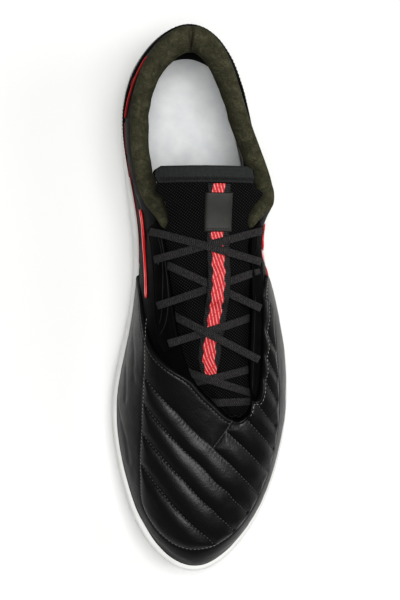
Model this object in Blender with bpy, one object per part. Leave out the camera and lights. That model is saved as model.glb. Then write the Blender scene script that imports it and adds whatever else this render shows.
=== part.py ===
"""Left indoor soccer shoe: quilted leather vamp, padded collar and a flat cupped rubber sole.

Metres, +Z up, toe towards -Y, medial side towards -X, sole standing on Z = 0.
"""

import bmesh
import bpy
import numpy as np
from mathutils import Vector
from mathutils.bvhtree import BVHTree

# Driving sizes of the last and the sole
LENGTH = 0.290
BALL_WIDTH = 0.0965
INSTEP_HEIGHT = 0.0755
HEEL_HEIGHT = 0.0765
TOE_SPRING = 0.0115
HEEL_BEVEL = 0.0035
ARCH_RISE = 0.0028
SOLE_SIDE = 0.0245
SOLE_FLOOR = 0.0165

# Thicknesses and clearances
WALL = 0.0022
RIM = 0.0040
OUTSOLE = 0.0045
LUG_DEPTH = 0.0020
GROOVE = 0.0028
GROOVE_WALL = 0.0005
OUTSOLE_INSET = 0.0028
INSOLE = 0.0042
INSOLE_CUP = 0.0030
INSOLE_CLEARANCE = 0.0018
LEATHER = 0.0014
SYNTHETIC = 0.0010
COUNTER = 0.0012
GAP = 0.0003
OVERLAY_GAP = 0.0005
LACE_CLEARANCE = 0.0010
SEAM_GAP = 0.0006

# Tongue and what is sewn to it
TONGUE = 0.0050
TONGUE_CLEARANCE = 0.0008
TONGUE_RISE = 0.0150
BINDING_WIDTH = 0.0085
TRIM = 0.0008
TAPE_WIDTH = 0.0115
LABEL_WIDTH = 0.0140
LABEL_SETBACK = 0.0050
LABEL_CLEARANCE = 0.0070
KEEPER_RISE = 0.0031
KEEPER_LENGTH = 0.0060

# Collar padding and lace
COLLAR_PAD = 0.0068
COLLAR_RISE = 0.0062
COLLAR_DEPTH = 0.0270
COLLAR_HEEL = 0.45
COLLAR_CLEARANCE = 0.0007
LINING = 0.0014
LACE_WIDTH = 0.0038
LACE = 0.0011
LACE_LIFT = 0.0008
LACE_END = 0.0010
LACE_PAST_HOLE = 0.0008
LACE_HOLE = 0.0036

# How finely the round forms are divided
STATIONS = 60
OUTER_ROWS = 11
INNER_ROWS = 9
INNER_CROWDING = 1.6
HOLE_SIDES = 8
STRAND_STEPS = 31
FEEL = 0.0026
TRIM_REACH = 0.0022
FINE = 60

# Sections of the lasted upper, from the back of the heel to the tip of the toe. y and edge_y are shares of
# LENGTH; the x columns and swell are shares of BALL_WIDTH; edge, rise and drop are shares of the height.
COLUMNS = ("y", "medial", "lateral", "edge_y", "edge_medial", "edge_lateral", "edge", "heel",
           "swell_medial", "swell_lateral", "rise", "shoulder", "drop")
SECTIONS = (
    # y     medial  lateral edge_y  e_med   e_lat   edge   heel  s_med  s_lat   rise  shoulder drop
    (0.486, -0.090, -0.090, 0.478, -0.090, -0.090, 1.000, 1.0, 0.036, 0.036, 0.24, 0.00, 0.24),
    (0.441, -0.316, 0.122, 0.431, -0.300, 0.098, 0.955, 1.0, 0.036, 0.036, 0.24, 0.00, 0.23),
    (0.348, -0.402, 0.205, 0.336, -0.400, 0.208, 0.850, 1.0, 0.040, 0.040, 0.20, 0.00, 0.18),
    (0.237, -0.384, 0.275, 0.231, -0.381, 0.328, 0.795, 0.7, 0.030, 0.034, 0.19, 0.00, 0.15),
    (0.153, -0.352, 0.301, 0.167, -0.315, 0.345, 0.865, 0.3, 0.026, 0.030, 0.21, 0.10, 0.14),
    (0.070, -0.337, 0.326, 0.122, -0.243, 0.238, 0.995, 0.0, 0.034, 0.030, 0.26, 0.44, 0.10),
    (-0.049, -0.378, 0.415, 0.014, -0.192, 0.232, 0.980, 0.0, 0.024, 0.034, 0.28, 0.56, 0.08),
    (-0.188, -0.456, 0.451, -0.118, -0.104, 0.228, 0.890, 0.0, 0.012, 0.034, 0.29, 0.62, 0.085),
    (-0.331, -0.404, 0.368, -0.178, 0.031, 0.240, 0.825, 0.0, 0.010, 0.030, 0.30, 0.62, 0.105),
    (-0.437, -0.271, 0.192, -0.202, 0.105, 0.214, 0.800, 0.0, 0.010, 0.022, 0.31, 0.64, 0.12),
    (-0.486, -0.045, -0.045, -0.210, 0.160, 0.160, 0.790, 0.0, 0.016, 0.016, 0.31, 0.66, 0.125),
)
TOE = len(SECTIONS) - 1

# Height of the sole's side wall and of the floor inside it, as shares of SOLE_SIDE and SOLE_FLOOR
SOLE_SECTIONS = (
    # y     side  floor
    (0.50, 1.04, 1.02),
    (0.32, 0.96, 1.00),
    (0.06, 0.86, 0.90),
    (-0.18, 0.76, 0.68),
    (-0.36, 0.72, 0.58),
    (-0.50, 0.76, 0.56),
)

# Outer profile of the sole's side: share of its height, and the step in from its widest line
SIDE_PROFILE = (
    # height step
    (0.00, 0.0030),
    (0.10, 0.0010),
    (0.36, 0.0000),
    (0.56, 0.0003),
    (0.61, 0.0012),
    (0.68, 0.0006),
    (0.92, 0.0009),
    (1.00, 0.0019),
)

# Where the grooves between the lugs lie, as shares of LENGTH, and how far they bow
FOREFOOT_GROOVES = (-0.045, -0.36, 7)
HEEL_GROOVES = (0.405, 0.235, 4)
GROOVE_BOW = 0.0060

# Rows of the outsole and the insole at their round ends, as shares of BALL_WIDTH from the tip
END_ROWS = (0.0, 0.005, 0.021, 0.052, 0.098, 0.160)
END_STRAIGHT = 0.260

# Overlays start this share of the way up above the sole's rim, and are at least so high
OVERLAY_FOOT = 0.006
VAMP_LEAST = 0.02
COUNTER_LEAST = 0.05

# Upper edge of the leather vamp and rear edge of its lateral side: (section, share of the way up)
VAMP_MEDIAL = ((-5.20, 0.00), (-5.45, 0.34), (-5.75, 0.47), (-6.10, 0.58), (-6.40, 0.68), (-6.70, 0.82),
               (-7.00, 0.95), (-7.20, 1.00))
VAMP_LATERAL = ((7.80, 1.00), (7.55, 0.92), (7.00, 0.87), (6.40, 0.86), (5.95, 0.84), (5.70, 0.77),
                (5.50, 0.64))
VAMP_REAR = ((5.98, 0.00), (5.80, 0.24), (5.62, 0.46), (5.50, 0.60))
EYESTAY_MEDIAL = ((-4.66, 0.72), (-5.00, 0.74), (-5.50, 0.76), (-6.10, 0.76), (-6.50, 0.80), (-6.66, 0.86))
EYESTAY_LATERAL = ((4.66, 0.71), (5.00, 0.74), (5.60, 0.78), (6.20, 0.87), (7.00, 0.89), (7.55, 0.93))
COUNTER_TOP = ((0.00, 0.80), (0.80, 0.79), (1.60, 0.70), (2.40, 0.46), (3.10, 0.20))
COLLAR_FRONT = 5.00
COLLAR_TAPER = 3.60

# Lace holes along the throat, as sections, and how far up the side they lie
HOLES_MEDIAL = ((-4.84, 0.82), (-5.40, 0.84), (-6.04, 0.84), (-6.56, 0.92))
HOLES_LATERAL = ((4.84, 0.84), (5.46, 0.86), (6.12, 0.91), (6.78, 0.925))

# Lace strands: both ends, each either a lace hole as side and number or a section of the throat's edge under
# which the lace dives, and whether the strand passes over the other one
STRANDS = (
    # crossing        start      end    over
    ("lace_crossing_1", ("medial", 0), ("lateral", 1), True),
    ("lace_crossing_1", ("lateral", 0), ("medial", 1), False),
    ("lace_crossing_2", ("lateral", 2), -5.62, True),
    ("lace_crossing_2", ("medial", 2), 5.74, False),
    ("lace_crossing_3", ("lateral", 3), -6.28, True),
    ("lace_crossing_3", ("medial", 3), 6.30, False),
    ("lace_crossing_4", -7.08, 7.62, True),
    ("lace_crossing_4", 7.02, -7.30, False),
)
KEEPER_CROSSING = "lace_crossing_2"
LABEL_CROSSING = "lace_crossing_1"

# Centre line of the tape, as shares of LENGTH and BALL_WIDTH
TAPE_LINE = ((-0.144, 0.026), (-0.125, 0.012), (-0.090, 0.014), (-0.055, 0.028), (0.030, 0.054),
             (0.105, 0.048), (0.210, 0.052))
BAR = (-8.05, 8.00)

# Tongue sections: y as a share of LENGTH, half width as a share of BALL_WIDTH, centre line, crown height
# as a share of the tongue's top, fall of the edges as a share of BALL_WIDTH, thickness share
TONGUE_SECTIONS = (
    # y     centre half   crown  fall   thick
    (-0.203, 0.130, 0.100, 0.648, 0.020, 0.45),
    (-0.167, 0.110, 0.165, 0.693, 0.036, 0.60),
    (-0.117, 0.070, 0.225, 0.753, 0.060, 0.75),
    (-0.037, 0.030, 0.270, 0.828, 0.092, 0.90),
    (0.043, 0.014, 0.264, 0.888, 0.110, 1.00),
    (0.098, 0.008, 0.228, 0.916, 0.096, 1.00),
    (0.138, 0.003, 0.186, 0.933, 0.072, 1.00),
    (0.178, 0.002, 0.222, 0.968, 0.076, 1.05),
    (0.215, -0.022, 0.262, 0.990, 0.078, 1.10),
    (0.227, -0.024, 0.255, 0.998, 0.074, 1.00),
    (0.233, -0.024, 0.225, 1.000, 0.062, 0.75),
)


def material(name, colour, roughness):
    """Principled material for one piece."""
    made = bpy.data.materials.new(name)
    made.use_nodes = True
    shader = made.node_tree.nodes["Principled BSDF"]
    shader.inputs["Base Color"].default_value = (*colour, 1.0)
    shader.inputs["Roughness"].default_value = roughness
    shader.inputs["Metallic"].default_value = 0.0
    return made


def add_object(name, points, faces, finish):
    """One closed body from points and faces, its faces pointing out, smooth but for its sharp edges."""
    mesh = bpy.data.meshes.new(name)
    mesh.from_pydata([tuple(point) for point in points], [], faces)
    shell = bmesh.new()
    shell.from_mesh(mesh)
    bmesh.ops.triangulate(shell, faces=shell.faces, quad_method="SHORT_EDGE")
    bmesh.ops.recalc_face_normals(shell, faces=shell.faces)
    if shell.calc_volume(signed=True) < 0.0:
        bmesh.ops.reverse_faces(shell, faces=shell.faces)
    shell.to_mesh(mesh)
    shell.free()
    mesh.materials.append(finish)
    mesh.shade_smooth()
    mesh.set_sharp_from_angle(angle=np.radians(40.0))
    piece = bpy.data.objects.new(name, mesh)
    bpy.context.collection.objects.link(piece)
    return piece


def skin(name, loops, finish, closed=False):
    """Body through closed loops of points. Open runs get ladder caps; closed runs join end to end."""
    loops = np.asarray(loops)
    count, size = loops.shape[:2]
    faces = []
    for row in range(count if closed else count - 1):
        near = row * size
        far = ((row + 1) % count) * size
        for step in range(size):
            after = (step + 1) % size
            faces.append((near + step, near + after, far + after, far + step))
    if not closed:
        for start in (0, (count - 1) * size):
            for step in range(size // 2 - 1):
                faces.append((start + step, start + step + 1,
                              start + size - 2 - step, start + size - 1 - step))
    return add_object(name, loops.reshape(-1, 3), faces, finish)


def spline(values, at, closed=True):
    """Smooth curve through values that stand at whole numbers; at may be any array."""
    values = np.asarray(values, float)
    count = len(values)
    system = 4.0 * np.eye(count) + np.eye(count, k=1) + np.eye(count, k=-1)
    chords = np.empty_like(values)
    chords[1:-1] = values[2:] - values[:-2]
    if closed:
        system[0, -1] = system[-1, 0] = 1.0
        chords[0] = values[1] - values[-1]
        chords[-1] = values[0] - values[-2]
    else:
        system[0, 0] = system[-1, -1] = 2.0
        chords[0] = values[1] - values[0]
        chords[-1] = values[-1] - values[-2]
    slopes = np.linalg.solve(system, 3.0 * chords)
    at = np.asarray(at, float)
    if closed:
        left = np.floor(at).astype(int) % count
        right = (left + 1) % count
        part = at - np.floor(at)
    else:
        left = np.clip(np.floor(at).astype(int), 0, count - 2)
        right = left + 1
        part = at - left
    square = part * part
    cube = square * part
    return ((2 * cube - 3 * square + 1) * values[left] + (cube - 2 * square + part) * slopes[left]
            + (3 * square - 2 * cube) * values[right] + (cube - square) * slopes[right])


def along_table(table, column, y):
    """Column of a table whose first column is a falling or rising share of LENGTH, read at y."""
    table = np.asarray(table, float)
    places = table[:, 0] * LENGTH
    order = np.argsort(places)
    index = np.interp(y, places[order], np.arange(len(table), dtype=float))
    return spline(table[order, column], index, closed=False)


def around(column):
    """Values of one section column in order round the shoe: heel, lateral side, toe, medial side."""
    rows = np.asarray(SECTIONS, float)
    pairs = {"x": ("medial", "lateral"), "edge_x": ("edge_medial", "edge_lateral"),
             "swell": ("swell_medial", "swell_lateral")}
    medial, lateral = (COLUMNS.index(name) for name in pairs.get(column, (column, column)))
    return np.concatenate((rows[:, lateral], rows[-2:0:-1, medial]))


def read(column, place):
    return spline(around(column), place)


def turn(section):
    """Place round the shoe of a section number, which is negative on the medial side."""
    return np.where(np.asarray(section) < 0, 2.0 * TOE + np.asarray(section, float), section)


def ground(y):
    """Underside of the sole: flat under heel and ball, with bevel, arch and toe spring."""
    y = np.asarray(y, float)
    toe_start, toe_end = -0.215 * LENGTH, -0.5 * LENGTH
    heel_start, heel_end = 0.43 * LENGTH, 0.5 * LENGTH
    arch_middle, arch_half = 0.13 * LENGTH, 0.15 * LENGTH
    toe = np.clip((y - toe_start) / (toe_end - toe_start), 0.0, 1.1) ** 1.9 * TOE_SPRING
    heel = np.clip((y - heel_start) / (heel_end - heel_start), 0.0, 1.1) ** 2 * HEEL_BEVEL
    arch = np.cos(np.clip((y - arch_middle) / arch_half, -1.0, 1.0) * np.pi / 2) ** 2 * ARCH_RISE
    return toe + heel + arch


def sole_floor(y):
    return ground(y) + along_table(SOLE_SECTIONS, 2, y) * SOLE_FLOOR


def sole_rim(y):
    return ground(y) + along_table(SOLE_SECTIONS, 1, y) * SOLE_SIDE


def outline(place):
    """Foot of the upper in plan and the direction that faces out from it."""
    step = 0.01

    def plan(at):
        return np.stack((read("x", at) * BALL_WIDTH, read("y", at) * LENGTH), -1)

    tangent = plan(place + step) - plan(place - step)
    tangent /= np.linalg.norm(tangent, axis=-1, keepdims=True)
    return plan(place), np.stack((-tangent[..., 1], tangent[..., 0]), -1)


def last(place, share):
    """Outer surface of the upper: place round the shoe, share of the way from sole to opening."""
    place, share = np.broadcast_arrays(np.asarray(place, float), np.asarray(share, float))
    foot, out = outline(place)
    height = read("heel", place) * HEEL_HEIGHT + (1.0 - read("heel", place)) * INSTEP_HEIGHT
    low = sole_floor(foot[..., 1]) + GAP
    edge = np.stack((read("edge_x", place) * BALL_WIDTH, read("edge_y", place) * LENGTH), -1)
    swell = (read("swell", place) * BALL_WIDTH)[..., None]
    lean = read("shoulder", place)[..., None]
    high = read("edge", place) * height
    points = (
        np.concatenate((foot, low[..., None]), -1),
        np.concatenate((foot + 0.7 * swell * out, (low + read("rise", place) * height)[..., None]), -1),
        np.concatenate((edge + lean * (foot - edge) + swell * out,
                        (high - read("drop", place) * height)[..., None]), -1),
        np.concatenate((edge, high[..., None]), -1),
    )
    part = share[..., None]
    rest = 1.0 - part
    return (rest ** 3 * points[0] + 3 * rest ** 2 * part * points[1]
            + 3 * rest * part ** 2 * points[2] + part ** 3 * points[3])


def facing(place, share):
    """Direction straight out of the upper's outer surface."""
    step = 0.01
    place, share = np.broadcast_arrays(np.asarray(place, float), np.asarray(share, float))
    high = np.minimum(share + step, 1.0)
    low = np.maximum(share - step, 0.0)
    rise = last(place, high) - last(place, low)
    out = np.cross(rise, last(place + step, share) - last(place - step, share))
    return out / np.linalg.norm(out, axis=-1, keepdims=True)


def surface(place, share, out=0.0):
    """Point on the upper's outer surface, moved straight out of it."""
    return last(place, share) + np.asarray(out)[..., None] * facing(place, share)


def level(place, height):
    """Share of the way up at which each place reaches a height above the floor."""
    shares = np.linspace(0.0, 1.0, FINE)
    place, height = np.broadcast_arrays(np.asarray(place, float), np.asarray(height, float))
    heights = last(place[..., None], shares)[..., 2]
    found = [np.interp(h, row, shares) for h, row in zip(height.ravel(), heights.reshape(-1, FINE))]
    return np.array(found).reshape(place.shape)


def below_edge(place, distance):
    """Share of the way up at each distance down from the opening, measured along the surface."""
    shares = np.linspace(1.0, 0.0, FINE)
    line = last(np.asarray(place, float)[..., None], shares)
    steps = np.linalg.norm(np.diff(line, axis=-2), axis=-1)
    run = np.concatenate((np.zeros(steps.shape[:-1] + (1,)), np.cumsum(steps, -1)), -1)
    return np.array([np.interp(d, row, shares) for d, row in zip(distance, run)])


def stations(count=STATIONS):
    """Places round the shoe at even distances along the foot of the upper."""
    fine = np.linspace(0.0, 2.0 * TOE, 40 * TOE)
    plan = outline(fine)[0]
    run = np.concatenate(([0.0], np.cumsum(np.linalg.norm(np.diff(plan, axis=0), axis=1))))
    return np.interp((np.arange(count) + 0.5) / count * run[-1], run, fine)


def stretch(first, final, ends=True):
    """The upper's own stations from one section number round to another, with or without both ends."""
    first, final = float(turn(first)), float(turn(final))
    if first > final:
        first -= 2.0 * TOE
    marks = np.concatenate((stations() - 2.0 * TOE, stations()))
    margin = 0.04
    inside = marks[(marks > first + margin) & (marks < final - margin)]
    return np.concatenate(([first], inside, [final])) if ends else inside


def rim_share(place):
    """Share of the way up at which the upper leaves the sole's rim."""
    return level(place, sole_rim(outline(place)[0][..., 1]) + GAP)


def build_midsole(finish):
    place = stations()
    foot, out = outline(place)
    base = ground(foot[:, 1]) + OUTSOLE + GAP
    rim = sole_rim(foot[:, 1])
    loops = []
    for height, step in SIDE_PROFILE:
        plan = foot + (RIM - step) * out
        loops.append(np.column_stack((plan, base + height * (rim - base))))
    top = surface(place, level(place, rim), GAP)
    loops.append(np.column_stack((top[:, :2], rim)))
    middle = 0.5 * (rim + sole_floor(foot[:, 1]))
    loops.append(surface(place, level(place, middle), GAP))
    bottom = foot + GAP * out
    loops.append(np.column_stack((bottom, sole_floor(foot[:, 1]))))
    return skin("midsole", loops, finish)


def width_at(y, inset):
    """Medial and lateral edge of the sole at y, moved in from its widest line."""
    place = stations(4 * STATIONS)
    foot, out = outline(place)
    edge = foot + (RIM - inset) * out
    half = len(place) // 2
    lateral = edge[:half][::-1]
    medial = edge[half:]
    return np.interp(y, medial[:, 1], medial[:, 0]), np.interp(y, lateral[:, 1], lateral[:, 0])


def groove_centres():
    for first, final, count in (HEEL_GROOVES, FOREFOOT_GROOVES):
        yield from np.linspace(first, final, count) * LENGTH


def build_outsole(finish):
    """Plate with bowed grooves: rows across the sole, deeper between each pair of lugs."""
    tip = read("y", float(TOE)) * LENGTH - RIM + OUTSOLE_INSET
    back = read("y", 0.0) * LENGTH + RIM - OUTSOLE_INSET
    rows = [(y, 0.0) for y in np.linspace(0.03, 0.20, 4) * LENGTH]
    for centre in groove_centres():
        half = 0.5 * GROOVE
        rows += [(centre - half - GROOVE_WALL, 0.0), (centre - half, LUG_DEPTH),
                 (centre + half, LUG_DEPTH), (centre + half + GROOVE_WALL, 0.0)]
    ends = np.array(END_ROWS) * BALL_WIDTH
    rows += [(tip + end, 0.0) for end in ends] + [(back - end, 0.0) for end in ends]
    rows.sort()
    straight = END_STRAIGHT * BALL_WIDTH
    across = np.linspace(-1.0, 1.0, 6)
    loops = []
    for y, depth in rows:
        bow = GROOVE_BOW * (1.0 - across ** 2) * min(1.0, (y - tip) / straight, (back - y) / straight)
        line = y - bow
        middle = 0.5 * (1.0 + across)
        low_medial, low_lateral = width_at(y, OUTSOLE_INSET + GAP)
        top_medial, top_lateral = width_at(y, OUTSOLE_INSET)
        low = np.column_stack((low_medial + middle * (low_lateral - low_medial), line, ground(line) + depth))
        top = np.column_stack((top_medial + middle * (top_lateral - top_medial), line,
                               ground(line) + OUTSOLE))
        loops.append(np.concatenate((low, top[::-1])))
    return skin("outsole", loops, finish)


def build_insole(finish):
    """Sock liner on the floor of the sole, its edges a little raised."""
    inset = RIM + WALL + INSOLE_CLEARANCE
    tip = read("y", float(TOE)) * LENGTH - RIM + inset
    back = read("y", 0.0) * LENGTH + RIM - inset
    ends = np.array(END_ROWS) * BALL_WIDTH
    straight = END_STRAIGHT * BALL_WIDTH
    rows = np.concatenate((tip + ends, np.linspace(tip + straight, back - straight, 20), back - ends[::-1]))
    across = np.linspace(-1.0, 1.0, 6)
    loops = []
    for y in rows:
        medial, lateral = width_at(y, inset)
        x = medial + 0.5 * (1.0 + across) * (lateral - medial)
        line = np.full_like(x, y)
        under = sole_floor(line) + GAP
        cup = INSOLE_CUP * np.abs(across) ** 4 * np.clip((y - tip) / BALL_WIDTH, 0.0, 1.0)
        loops.append(np.concatenate((np.column_stack((x, line, under)),
                                     np.column_stack((x, line, under + INSOLE + cup))[::-1])))
    return skin("insole", loops, finish)


def build_upper(finish):
    place = stations()
    shares = np.linspace(0.0, 1.0, OUTER_ROWS)
    loops = [surface(place, share) for share in shares]
    down = np.linspace(0.0, 1.0, INNER_ROWS) ** INNER_CROWDING
    loops += [surface(place, 1.0 - share, -WALL) for share in down]
    low = sole_floor(loops[-1][:, 1]) + GAP
    loops[-1][:, 2] = low
    return skin("upper", loops, finish, closed=True)


def patch(name, first, final, low, high, rows, thickness, finish):
    """Overlay on the upper between two section numbers, from the share low to the share high."""
    place = stretch(first, final)
    bottom, top = low(place), high(place)
    shares = bottom[:, None] + np.linspace(0.0, 1.0, rows) * (top - bottom)[:, None]
    outer = surface(place[:, None], shares, OVERLAY_GAP + thickness)
    inner = surface(place[:, None], shares, OVERLAY_GAP)
    return skin(name, np.concatenate((outer, inner[:, ::-1]), 1), finish)


def edge_line(*tables):
    """Share of the way up along hand-set (section, share) rows, as a function of place."""
    rows = sorted((float(turn(section)), share) for table in tables for section, share in table)

    def at(place):
        return np.interp(place, [row[0] for row in rows], [row[1] for row in rows])

    return at


def above_rim(line=None):
    def at(place):
        rim = rim_share(place) + OVERLAY_FOOT
        return rim if line is None else np.maximum(rim, line(place))

    return at


def build_vamp(finish):
    top = edge_line(VAMP_LATERAL, VAMP_MEDIAL)
    low = above_rim(edge_line(VAMP_REAR))

    def high(place):
        return np.maximum(np.minimum(top(place), 1.0), low(place) + VAMP_LEAST)

    return patch("vamp", 5.50, -5.20, low, high, 8, LEATHER, finish)


def build_eyestays(finish):
    seam = SEAM_GAP / INSTEP_HEIGHT
    vamp_top = edge_line(VAMP_LATERAL, VAMP_MEDIAL)
    made = []
    for name, table, first, final in (("eyestay_medial", EYESTAY_MEDIAL, -6.66, -4.66),
                                      ("eyestay_lateral", EYESTAY_LATERAL, 4.66, 7.60)):
        own = edge_line(table)
        covered = (turn(-5.2), turn(5.5))

        def low(place, own=own):
            under = (place > covered[1]) & (place < covered[0])
            return np.where(under, np.maximum(own(place), vamp_top(place) + 2.0 * seam), own(place))

        made.append(patch(name, first, final, low, np.ones_like, 4, SYNTHETIC, finish))
    return made


def build_counter(finish):
    rows = list(COUNTER_TOP) + [(-section, share) for section, share in COUNTER_TOP[1:]]

    def high(place):
        section = [row[0] for row in sorted(rows)]
        return np.maximum(np.interp(place, section, [row[1] for row in sorted(rows)]),
                          rim_share(place) + COUNTER_LEAST)

    return patch("heel_counter", -3.10, 3.10, above_rim(), high, 6, COUNTER, finish)


def collar_section(place):
    """Closed section of the collar padding: over the wall's edge, down inside it, and back up."""
    wall = WALL + COLLAR_CLEARANCE
    # How full the padding is: it thins out towards its two front ends
    taper = (np.abs(place) - COLLAR_TAPER) / (COLLAR_FRONT - COLLAR_TAPER)
    full = 1.0 - 0.55 * np.clip(taper, 0.0, 1.0) ** 2
    heel = 1.0 + COLLAR_HEEL * np.cos(np.clip(place / 2.0, -1.0, 1.0) * np.pi / 2) ** 2
    pad, rise, depth = COLLAR_PAD * full * heel, COLLAR_RISE * full, COLLAR_DEPTH * full
    width, flush = wall + pad, np.zeros_like(full)
    # Height along the surface from the wall's edge, and depth behind the outer surface
    section = ((-depth, flush + wall), (-0.76 * depth, flush + wall), (-0.42 * depth, flush + wall),
               (-0.12 * depth, flush + wall), (flush + GAP, flush + wall), (flush + GAP, flush + 0.5 * wall),
               (flush + GAP, flush), (0.45 * rise, -0.06 * width), (0.85 * rise, 0.12 * width),
               (rise, 0.42 * width), (0.86 * rise, 0.76 * width), (0.40 * rise, 0.98 * width),
               (-0.12 * depth, wall + 0.97 * pad), (-0.42 * depth, wall + 0.70 * pad),
               (-0.76 * depth, wall + 0.42 * pad), (-depth, wall + LINING * full))
    step = 0.02
    edge = surface(place, 1.0)
    up = edge - last(place, 1.0 - step)
    up[:, :2] *= 0.5
    up /= np.linalg.norm(up, axis=-1, keepdims=True)
    out = facing(place, 1.0)
    points = []
    for high, deep in section:
        if high[0] > 0.0:
            points.append(edge + high[:, None] * up - deep[:, None] * out)
        else:
            points.append(surface(place, below_edge(place, -high), -deep))
    return np.stack(points, 1)


def build_collar(finish):
    return skin("collar", collar_section(stretch(-COLLAR_FRONT, COLLAR_FRONT, ends=False)), finish)


def tree_of(*pieces):
    """Search tree over the faces of some pieces."""
    points, faces = [], []
    for piece in pieces:
        start = len(points)
        points += [vertex.co.copy() for vertex in piece.data.vertices]
        faces += [[start + index for index in face.vertices] for face in piece.data.polygons]
    return BVHTree.FromPolygons(points, faces)


def under(cover, x, y):
    """Height of the lowest face above the inside of the shoe round x, y, felt a little way about."""
    lowest = np.inf
    for dx, dy in ((0.0, 0.0), (FEEL, 0.0), (-FEEL, 0.0), (0.0, FEEL), (0.0, -FEEL)):
        hit = cover.ray_cast(Vector((x + dx, y + dy, 0.5 * INSTEP_HEIGHT)), Vector((0.0, 0.0, 1.0)))[0]
        if hit is not None:
            lowest = min(lowest, hit.z)
    return lowest


def over(cover, x, y, reach=0.0):
    """Height of the highest face under the sky at x, y, felt to both sides of it as far as reach."""
    highest = 0.0
    for dx in {-reach, 0.0, reach}:
        hit = cover.ray_cast(Vector((x + dx, y, 2.0 * INSTEP_HEIGHT)), Vector((0.0, 0.0, -1.0)))[0]
        if hit is not None:
            highest = max(highest, hit.z)
    return highest


def build_tongue(upper, finish):
    """Padded tongue, crowned across, kept under the upper wherever the upper covers it."""
    cover = tree_of(upper)
    rows = np.asarray(TONGUE_SECTIONS, float)
    index = np.linspace(0.0, len(rows) - 1.0, 21)
    across = np.linspace(-1.0, 1.0, 9)
    loops = []
    for at in index:
        y, centre, half, crown, fall, thick = (float(spline(rows[:, c], at, closed=False)) for c in range(6))
        top, bottom = [], []
        for v in across:
            x = (centre + half * v) * BALL_WIDTH
            z = crown * (INSTEP_HEIGHT + TONGUE_RISE) - fall * BALL_WIDTH * v * v
            z = min(z, under(cover, x, y * LENGTH) - TONGUE_CLEARANCE)
            thin = 1.0 - 0.45 * abs(v) ** 3
            top.append((x, y * LENGTH, z))
            bottom.append((x, y * LENGTH, z - TONGUE * thick * thin))
        loops.append(top + bottom[::-1])
    return skin("tongue", loops, finish)


def tongue_middle(y):
    rows = np.asarray(TONGUE_SECTIONS, float)
    return np.interp(y, rows[:, 0] * LENGTH, rows[:, 1]) * BALL_WIDTH


def tongue_half(y):
    rows = np.asarray(TONGUE_SECTIONS, float)
    return np.interp(y, rows[:, 0] * LENGTH, rows[:, 2]) * BALL_WIDTH


def tongue_strip(name, cover, half, first, final, count, columns, finish, lift=None, centre=tongue_middle):
    """Thin piece sewn along the tongue, between two y values, following the faces under it."""
    loops = []
    for y in np.linspace(first, final, count):
        low = []
        for v in np.linspace(-1.0, 1.0, columns):
            x = centre(y) + v * half(y)
            low.append((x, y, over(cover, x, y, TRIM_REACH) + GAP + (lift(y) if lift else 0.0)))
        loops.append(low + [(x, y, z + TRIM) for x, y, z in low[::-1]])
    return skin(name, loops, finish)


def tape_middle(y):
    return np.interp(y, [row[0] * LENGTH for row in TAPE_LINE], [row[1] * BALL_WIDTH for row in TAPE_LINE])


def build_trims(tongue, binding, tape, label):
    """Band along the tongue's top edge, the centre tape that keeps the lace, and its bare patch."""
    bare = tree_of(tongue)
    top = TONGUE_SECTIONS[-1][0] * LENGTH
    tongue_strip("tongue_binding", bare, lambda y: tongue_half(y) - 2.0 * GAP, top - BINDING_WIDTH,
                 top - 2.0 * GAP, 6, 9, binding)
    keeper = crossing_at(KEEPER_CROSSING)[1]

    def lift(y):
        beyond = np.clip((abs(y - keeper) - KEEPER_LENGTH) / KEEPER_LENGTH, 0.0, 1.0)
        return KEEPER_RISE * np.cos(beyond * np.pi / 2) ** 2

    end = TAPE_LINE[0][0] * LENGTH

    def half(y):
        return 0.5 * TAPE_WIDTH * min(1.0, 0.4 + (y - end) / (2.0 * TAPE_WIDTH))

    strip = tongue_strip("tongue_tape", bare, half, end, top - BINDING_WIDTH - 2.0 * GAP, 26, 3, tape,
                         lift, tape_middle)
    patch_end = top - BINDING_WIDTH - LABEL_SETBACK
    tongue_strip("tongue_label", tree_of(tongue, strip), lambda y: 0.5 * LABEL_WIDTH,
                 crossing_at(LABEL_CROSSING)[1] + LABEL_CLEARANCE, patch_end, 8, 5, label, None, tape_middle)
    return strip


def hole_frame(side, number):
    """Centre of a lace hole on the eyestay's outer face, and the way straight out of it."""
    section, share = (HOLES_MEDIAL if side == "medial" else HOLES_LATERAL)[number]
    place = float(turn(section))
    return surface(place, share, OVERLAY_GAP + SYNTHETIC), facing(place, share)


def cut_lace_holes(pieces):
    """One row of round cutters down each side of the throat, through the eyestay and the wall."""
    cutter = bmesh.new()
    for side, table in (("medial", HOLES_MEDIAL), ("lateral", HOLES_LATERAL)):
        for number in range(len(table)):
            centre, out = hole_frame(side, number)
            turned = Vector(out).to_track_quat("Z", "Y").to_matrix().to_4x4()
            turned.translation = Vector(centre)
            bmesh.ops.create_cone(cutter, cap_ends=True, segments=HOLE_SIDES, radius1=0.5 * LACE_HOLE,
                                  radius2=0.5 * LACE_HOLE, depth=4.0 * WALL, matrix=turned)
    mesh = bpy.data.meshes.new("lace_holes")
    cutter.to_mesh(mesh)
    cutter.free()
    holes = bpy.data.objects.new("lace_holes", mesh)
    holes.hide_render = True
    holes.display_type = "WIRE"
    bpy.context.collection.objects.link(holes)
    for piece in pieces:
        cut = piece.modifiers.new("lace_holes", "BOOLEAN")
        cut.operation = "DIFFERENCE"
        cut.solver = "EXACT"
        cut.object = holes


def taut(run, height):
    """Points that a line touches when it is pulled tight over the given heights."""
    kept = [0]
    for index in range(1, len(run)):
        while len(kept) > 1:
            a, b = kept[-2], kept[-1]
            rise, all_rise = height[b] - height[a], height[index] - height[a]
            if rise * (run[index] - run[a]) > all_rise * (run[b] - run[a]):
                break
            kept.pop()
        kept.append(index)
    return kept


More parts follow.
